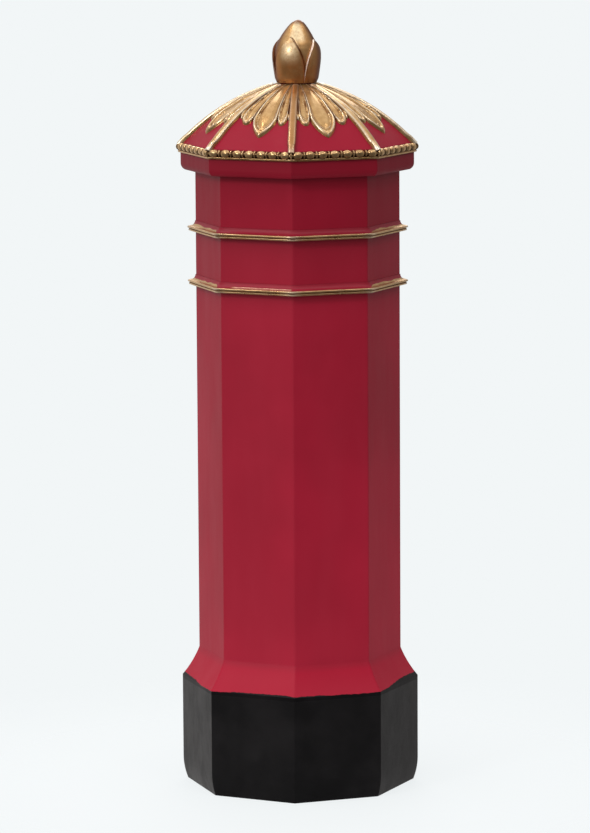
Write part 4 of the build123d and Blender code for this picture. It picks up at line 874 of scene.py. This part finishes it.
# runs of paint under the lower ring: face, sideways, radius and length in millimetres
DRIPS = [
    (2, 46, 2.2, 3.2), (2, 58, 3.0, 3.6), (2, 71, 2.0, 2.6), (2, 83, 3.4, 5.4), (2, 88, 2.6, 6.6),
    (3, -85, 3.0, 4.6), (3, -78, 2.0, 2.6), (3, 47, 2.4, 2.8), (3, 56, 2.2, 3.2), (5, 20, 2.2, 3.0),
]


def make_ring(node, drips=()):
    """Ring moulding with a two-ridged gilt nose and a cove running back to the shaft."""
    low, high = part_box(node)
    base, nose = low.z, high.x
    # underside, lower ridge, groove, upper ridge, cove
    profile = [(SHAFT - 2 * MM, base), (nose - 6.5 * MM, base + 0.3 * MM)]
    profile += arc((nose - 4.6 * MM, base + 2.9 * MM), 2.3 * MM, -85, 65, 8)
    profile += [(nose - 3.9 * MM, base + 5.4 * MM), (nose - 3.6 * MM, base + 6.2 * MM)]
    profile += arc((nose - 2.6 * MM, base + 8.9 * MM), 2.4 * MM, -70, 110, 10)
    profile += arc((nose - 3.6 * MM, high.z - 0.3 * MM), 11.9 * MM, 262, 181, 10)
    profile += [(SHAFT - 2 * MM, high.z - 0.2 * MM)]
    shape = Shape()
    octagon_sweep(shape, profile, steps=14, wobble=0.35 * MM)
    for turn, side, radius, length in drips:
        place = on_face(turn, nose - 5.2 * MM, np.array(side * MM), base + 0.8 * MM)
        lathe(shape, place, (0, 0, -1), [radius * MM * r for r in (0.7, 1.0, 0.95, 0.62, 0.1)],
              [length * MM * t for t in (-0.35, 0.1, 0.5, 0.85, 1.0)], bud_side_shade=12)
    piece_from(node + "_moulded", shape, FINISHES["ring_paint"], [node], angle=50)


# ---------------------------------------------------------------- bud
# radius and height of the closed bud, millimetres
BUD_PROFILE = [
    (42.5, 0), (44.0, 3), (46.6, 8), (48.0, 17), (50.2, 34), (51.9, 50), (52.0, 60), (51.0, 67.5),
    (49.0, 76), (44.7, 84.5), (38.3, 93), (32.0, 101.5), (26.6, 110), (20.6, 118.5), (14.4, 125.6),
    (10.4, 129.0), (6.4, 131.6), (0.0, 133.0),
]
# height in millimetres on a petal of PETAL_HIGH and half of its angle about the bud, degrees
PETAL_HALF_ANGLES = [
    (0, 47), (14, 46), (26, 44), (40, 41), (54, 36.5), (68, 29), (78, 21), (85, 14), (90, 8),
    (93, 4), (94.5, 0.8),
]
PETAL_HIGH = PETAL_HALF_ANGLES[-1][0]
PETAL_MIDDLES = (92, 182, 272, 2)               # degrees about Z, the front petal first
PETAL_TOPS = (96.0, 91.5, 95.0, 93.5)           # millimetres above the bud's foot
PETAL_RIMS = ((0.2, 0.5), (2.7, 1.4), (1.9, 1.9), (1.9, 1.4))   # rolled edges either side, mm
PETAL_DEPTHS = (5.2, 4.0, 5.2, 5.2)             # how far the inner sheet lies inside, mm
HIGHLIT_EDGE = (1, 0)                            # petal and column of its grid that carry a painted highlight
BUD_BEND_FROM = 70 * MM                         # height above which the bud leans over
BUD_TIP_LEAN = Vector((-0.903, -0.429)) * 3.5 * MM


def bud_radius(height):
    """Radius of the closed bud at a height above its foot, metres."""
    heights = [h * MM for _, h in BUD_PROFILE]
    return np.interp(height, heights, [r * MM for r, _ in BUD_PROFILE])


def smooth_radius(height):
    """The same profile, averaged over a few millimetres so that it has no kinks."""
    spread = np.linspace(-3, 3, 9) * MM
    top = BUD_PROFILE[-1][1] * MM
    return np.mean([bud_radius(np.clip(height + s, 0, top)) for s in spread], axis=0)


def bud_point(radius, angle, height):
    """Frame coordinates of points round the bud, whose tip leans a little."""
    bend = np.clip((height - BUD_BEND_FROM) / (BUD_PROFILE[-1][1] * MM - BUD_BEND_FROM), 0, 1) ** 2
    return np.stack([radius * np.cos(angle) + BUD_TIP_LEAN.x * bend,
                     radius * np.sin(angle) + BUD_TIP_LEAN.y * bend,
                     BUD_LOW.z + height + 0 * angle], axis=-1)


def petal_half_angle(share):
    """Half of a petal's angle about the bud at a share of its height, degrees."""
    heights, angles = zip(*PETAL_HALF_ANGLES)
    return np.interp(share * PETAL_HIGH, heights, angles)


def bud_heart():
    """Grid of the pointed heart, drawn in below the petals' tips."""
    top = BUD_HIGH.z - BUD_LOW.z
    cap = 4 * MM                                # rounded end of the tip
    heights = top * (1 - (1 - np.linspace(0, 1, 110)) ** 1.35)
    angles = np.linspace(0, 2 * math.pi, 180, endpoint=False)
    h, t = np.meshgrid(heights, angles, indexing="ij")
    full = smooth_radius(h)
    heart = np.where(h > top - cap, np.sqrt(22 * MM * np.maximum(top - h, 0)), full)
    recess = 4.2 * MM * np.clip((101 * MM - h) / (24 * MM), 0, 1)
    # a groove along the front petal's edge
    front_top = PETAL_TOPS[0] * MM
    groove_top = front_top + 3 * MM
    half = np.radians(petal_half_angle(h / front_top))
    past_edge = full * (t - math.radians(PETAL_MIDDLES[0]) - half)
    groove = np.where((h < groove_top) & (past_edge > -6 * MM),
                      np.exp(-((past_edge - 1.5 * MM) / (3.2 * MM)) ** 2), 0.0)
    recess = recess + 4.5 * MM * groove * np.clip((groove_top - h) / (6 * MM), 0, 1)
    return bud_point(heart - recess, t, h)


def petal_sheets(index):
    """Outer and inner grid of one thick petal with rolled edges."""
    up, across = np.meshgrid(np.linspace(0, 1, 46), np.linspace(-1, 1, 27), indexing="ij")
    share = 1 - (1 - up) ** 1.25
    height = PETAL_TOPS[index] * MM * share
    twist = 4.0 * (share - 0.5) * (-1) ** index
    angle = np.radians(PETAL_MIDDLES[index] + across * petal_half_angle(share) + twist)
    crown = 0.88 * MM * (1 - across ** 2) * np.sin(math.pi * up)
    flare = 0.3 * MM * np.clip((up - 0.72) / 0.28, 0, 1) ** 2
    radius = smooth_radius(height) - 0.5 * MM + crown + flare + 0.25 * MM * (index % 2)
    left, right = PETAL_RIMS[index]
    thick = np.where(across < 0, left, right) * MM
    rim = thick * np.exp(-((1 - np.abs(across)) / 0.13) ** 2) * np.clip(up * 3, 0, 1)
    edge = 0.9 * MM * np.abs(across) ** 16
    return (bud_point(radius + rim - edge, angle, height),
            bud_point(radius - PETAL_DEPTHS[index] * MM, angle, height - 0.3 * MM * up))


def make_bud():
    """Pointed heart of the bud inside four overlapping thick petals."""
    shape, highlit_shape = Shape(), Shape()
    shape.grid(bud_heart(), closed_columns=True)
    for index in range(len(PETAL_MIDDLES)):
        outer, inner = petal_sheets(index)
        shape.grid(outer)
        shape.grid(inner)
        for column in (0, -1):
            # one petal's edge wall carries a painted highlight in its own material
            side = highlit_shape if (index, column) == HIGHLIT_EDGE else shape
            side.grid(np.stack([outer[:, column], inner[:, column]], axis=1))
    piece_from("petal_highlight_edge", highlit_shape, HIGHLIT_EDGE_GOLD)
    piece_from("petalled_bud", shape, BUD_GOLD, ["finial_bud"], angle=48)


# ---------------------------------------------------------------- camera, light, floor
VIEW_TURN = math.radians(205.4)                 # where the camera stands round the object
VIEW_RIGHT = Vector((math.cos(VIEW_TURN), math.sin(VIEW_TURN), 0))
VIEW_BACK = Vector((math.sin(VIEW_TURN), -math.cos(VIEW_TURN), 0))
UP = Vector((0, 0, 1))
LIGHT_AIM = UP * 0.85
LIGHT_DISTANCE = 4.6
BACKDROP = (0.888, 0.921, 0.930)
MATT_LIGHT = (1.0, 0.985, 0.98)
GLOSS_LIGHT = (1.0, 0.975, 0.96)


def from_camera(turn, elevation=0.0):
    """Direction at an angle from where the camera stands, degrees to its right and up."""
    a, e = math.radians(turn), math.radians(elevation)
    level = VIEW_BACK * math.cos(a) + VIEW_RIGHT * math.sin(a)
    return level * math.cos(e) + Vector((0, 0, math.sin(e)))


def make_camera():
    distance, height, aside = 9.321, 2.138, -0.0078
    pitch, roll = math.radians(8.19), math.radians(0.33)
    focal_length_share = 5.2413                 # focal length over the sensor's longer side
    data = bpy.data.cameras.new("camera")
    data.sensor_width = 36
    data.lens = focal_length_share * data.sensor_width
    data.clip_end = 200
    camera = bpy.data.objects.new("camera", data)
    bpy.context.scene.collection.objects.link(camera)
    camera.location = VIEW_BACK * distance + VIEW_RIGHT * aside + Vector((0, 0, height))
    forward = -VIEW_BACK * math.cos(pitch) - Vector((0, 0, math.sin(pitch)))
    camera.rotation_mode = "QUATERNION"
    camera.rotation_quaternion = (forward.to_track_quat("-Z", "Y")
                                  @ Quaternion((0, 0, 1), -roll))
    bpy.context.scene.camera = camera


def soft_light(name, turn, elevation, size, power, gloss_only=False):
    """Soft box at an angle from the camera's direction, aimed at the middle of the object."""
    data = bpy.data.lights.new(name, "AREA")
    data.shape = "RECTANGLE"
    data.size, data.size_y = size
    data.energy = power
    light = bpy.data.objects.new(name, data)
    light.visible_diffuse = not gloss_only
    bpy.context.scene.collection.objects.link(light)
    light.location = LIGHT_AIM + from_camera(turn, elevation) * LIGHT_DISTANCE
    light.rotation_euler = (LIGHT_AIM - light.location).to_track_quat("-Z", "Y").to_euler()


def make_lights():
    soft_light("key", -40, 34, (0.9, 0.9), 46)
    soft_light("spark", 34, 52, (0.6, 0.6), 14)
    soft_light("high_left_glint", -100, 64, (0.5, 0.5), 17, gloss_only=True)
    soft_light("high_right_glint", 84, 60, (0.45, 0.45), 7, gloss_only=True)
    soft_light("door_side", 178, 42, (2.4, 2.2), 60)


def make_world():
    """Pale surroundings to the eye; even light on matt paint, brighter patches in gloss."""
    world = bpy.data.worlds.new("studio")
    bpy.context.scene.world = world
    world.use_nodes = True
    n = Nodes(world.node_tree)
    way = n.add("ShaderNodeTexCoord").outputs["Generated"]

    def glow(base, *patches):
        """Even light with added patches: direction, cosines where it starts and is full, amount."""
        total = base
        for direction, low, high, amount in patches:
            total = n.math("ADD", total, n.ramp(n.along(way, direction), low, high, 0.0, amount))
        return total

    gloss = glow(0.035,
                 (from_camera(-142), 0.35, 0.92, 0.60),
                 (from_camera(130), 0.35, 0.92, 0.34),
                 (from_camera(178), 0.80, 1.0, 0.10),
                 (UP, 0.40, 0.98, 0.80))
    matt = glow(0.37,
                (from_camera(-38, 34), 0.1, 1.0, 0.80),
                (UP, 0.2, 1.0, 0.44),
                (from_camera(180, 20), 0.2, 1.0, 0.35))
    backgrounds = []
    for color, strength in ((BACKDROP, 1.0), (MATT_LIGHT, matt), (GLOSS_LIGHT, gloss)):
        node = n.add("ShaderNodeBackground")
        n.put(color, node.inputs["Color"])
        n.put(strength, node.inputs["Strength"])
        backgrounds.append(node.outputs[0])
    seen, soft, shiny = backgrounds
    path = n.add("ShaderNodeLightPath")
    bounce = n.blend(path.outputs["Is Glossy Ray"], soft, shiny)
    surface = n.blend(path.outputs["Is Camera Ray"], bounce, seen)
    n.link(surface, n.tree.nodes["World Output"].inputs["Surface"])


def make_floor():
    """Round pale floor that fades into the surroundings at its rim."""
    count, radius = 96, 1.25
    fade_from, fade_to = 0.45, 1.2
    glow_share, bounce_gain = 0.86, 1.3
    verts = [(0, 0, 0)] + [(radius * math.cos(2 * math.pi * k / count),
                            radius * math.sin(2 * math.pi * k / count), 0) for k in range(count)]
    faces = [(0, 1 + k, 1 + (k + 1) % count) for k in range(count)]
    mesh = bpy.data.meshes.new("floor")
    mesh.from_pydata(verts, [], faces)
    floor = bpy.data.objects.new("floor", mesh)
    bpy.context.scene.collection.objects.link(floor)
    floor.location.z = -0.2 * MM
    n = Paint("pale_floor")
    n.shade(BACKDROP, 0.6, specular=0.2)
    path = n.add("ShaderNodeLightPath")
    glow = n.add("ShaderNodeEmission")
    n.put(BACKDROP, glow.inputs["Color"])
    bounced = n.product(path.outputs["Is Diffuse Ray"], bounce_gain)
    n.put(n.math("ADD", bounced, 1.0), glow.inputs["Strength"])
    clear = n.add("ShaderNodeBsdfTransparent")
    length = n.add("ShaderNodeVectorMath", operation="LENGTH")
    n.link(n.place, length.inputs[0])
    rim = n.ramp(length.outputs["Value"], fade_from, fade_to)
    lit = n.blend(glow_share, n.bsdf.outputs[0], glow.outputs[0])
    surface = n.blend(n.math("MAXIMUM", rim, path.outputs["Is Glossy Ray"]), lit, clear.outputs[0])
    n.link(surface, n.tree.nodes["Material Output"].inputs["Surface"])
    mesh.materials.append(n.material)


# ---------------------------------------------------------------- build
make_camera()
make_world()
make_lights()
make_floor()
paint_cad_nodes()
make_leaves()
make_ribs()
make_beads()
make_ring("lower_ring", DRIPS)
make_ring("upper_ring")
make_bud()

bpy.context.scene.view_settings.view_transform = "Standard"
bpy.context.view_layer.update()
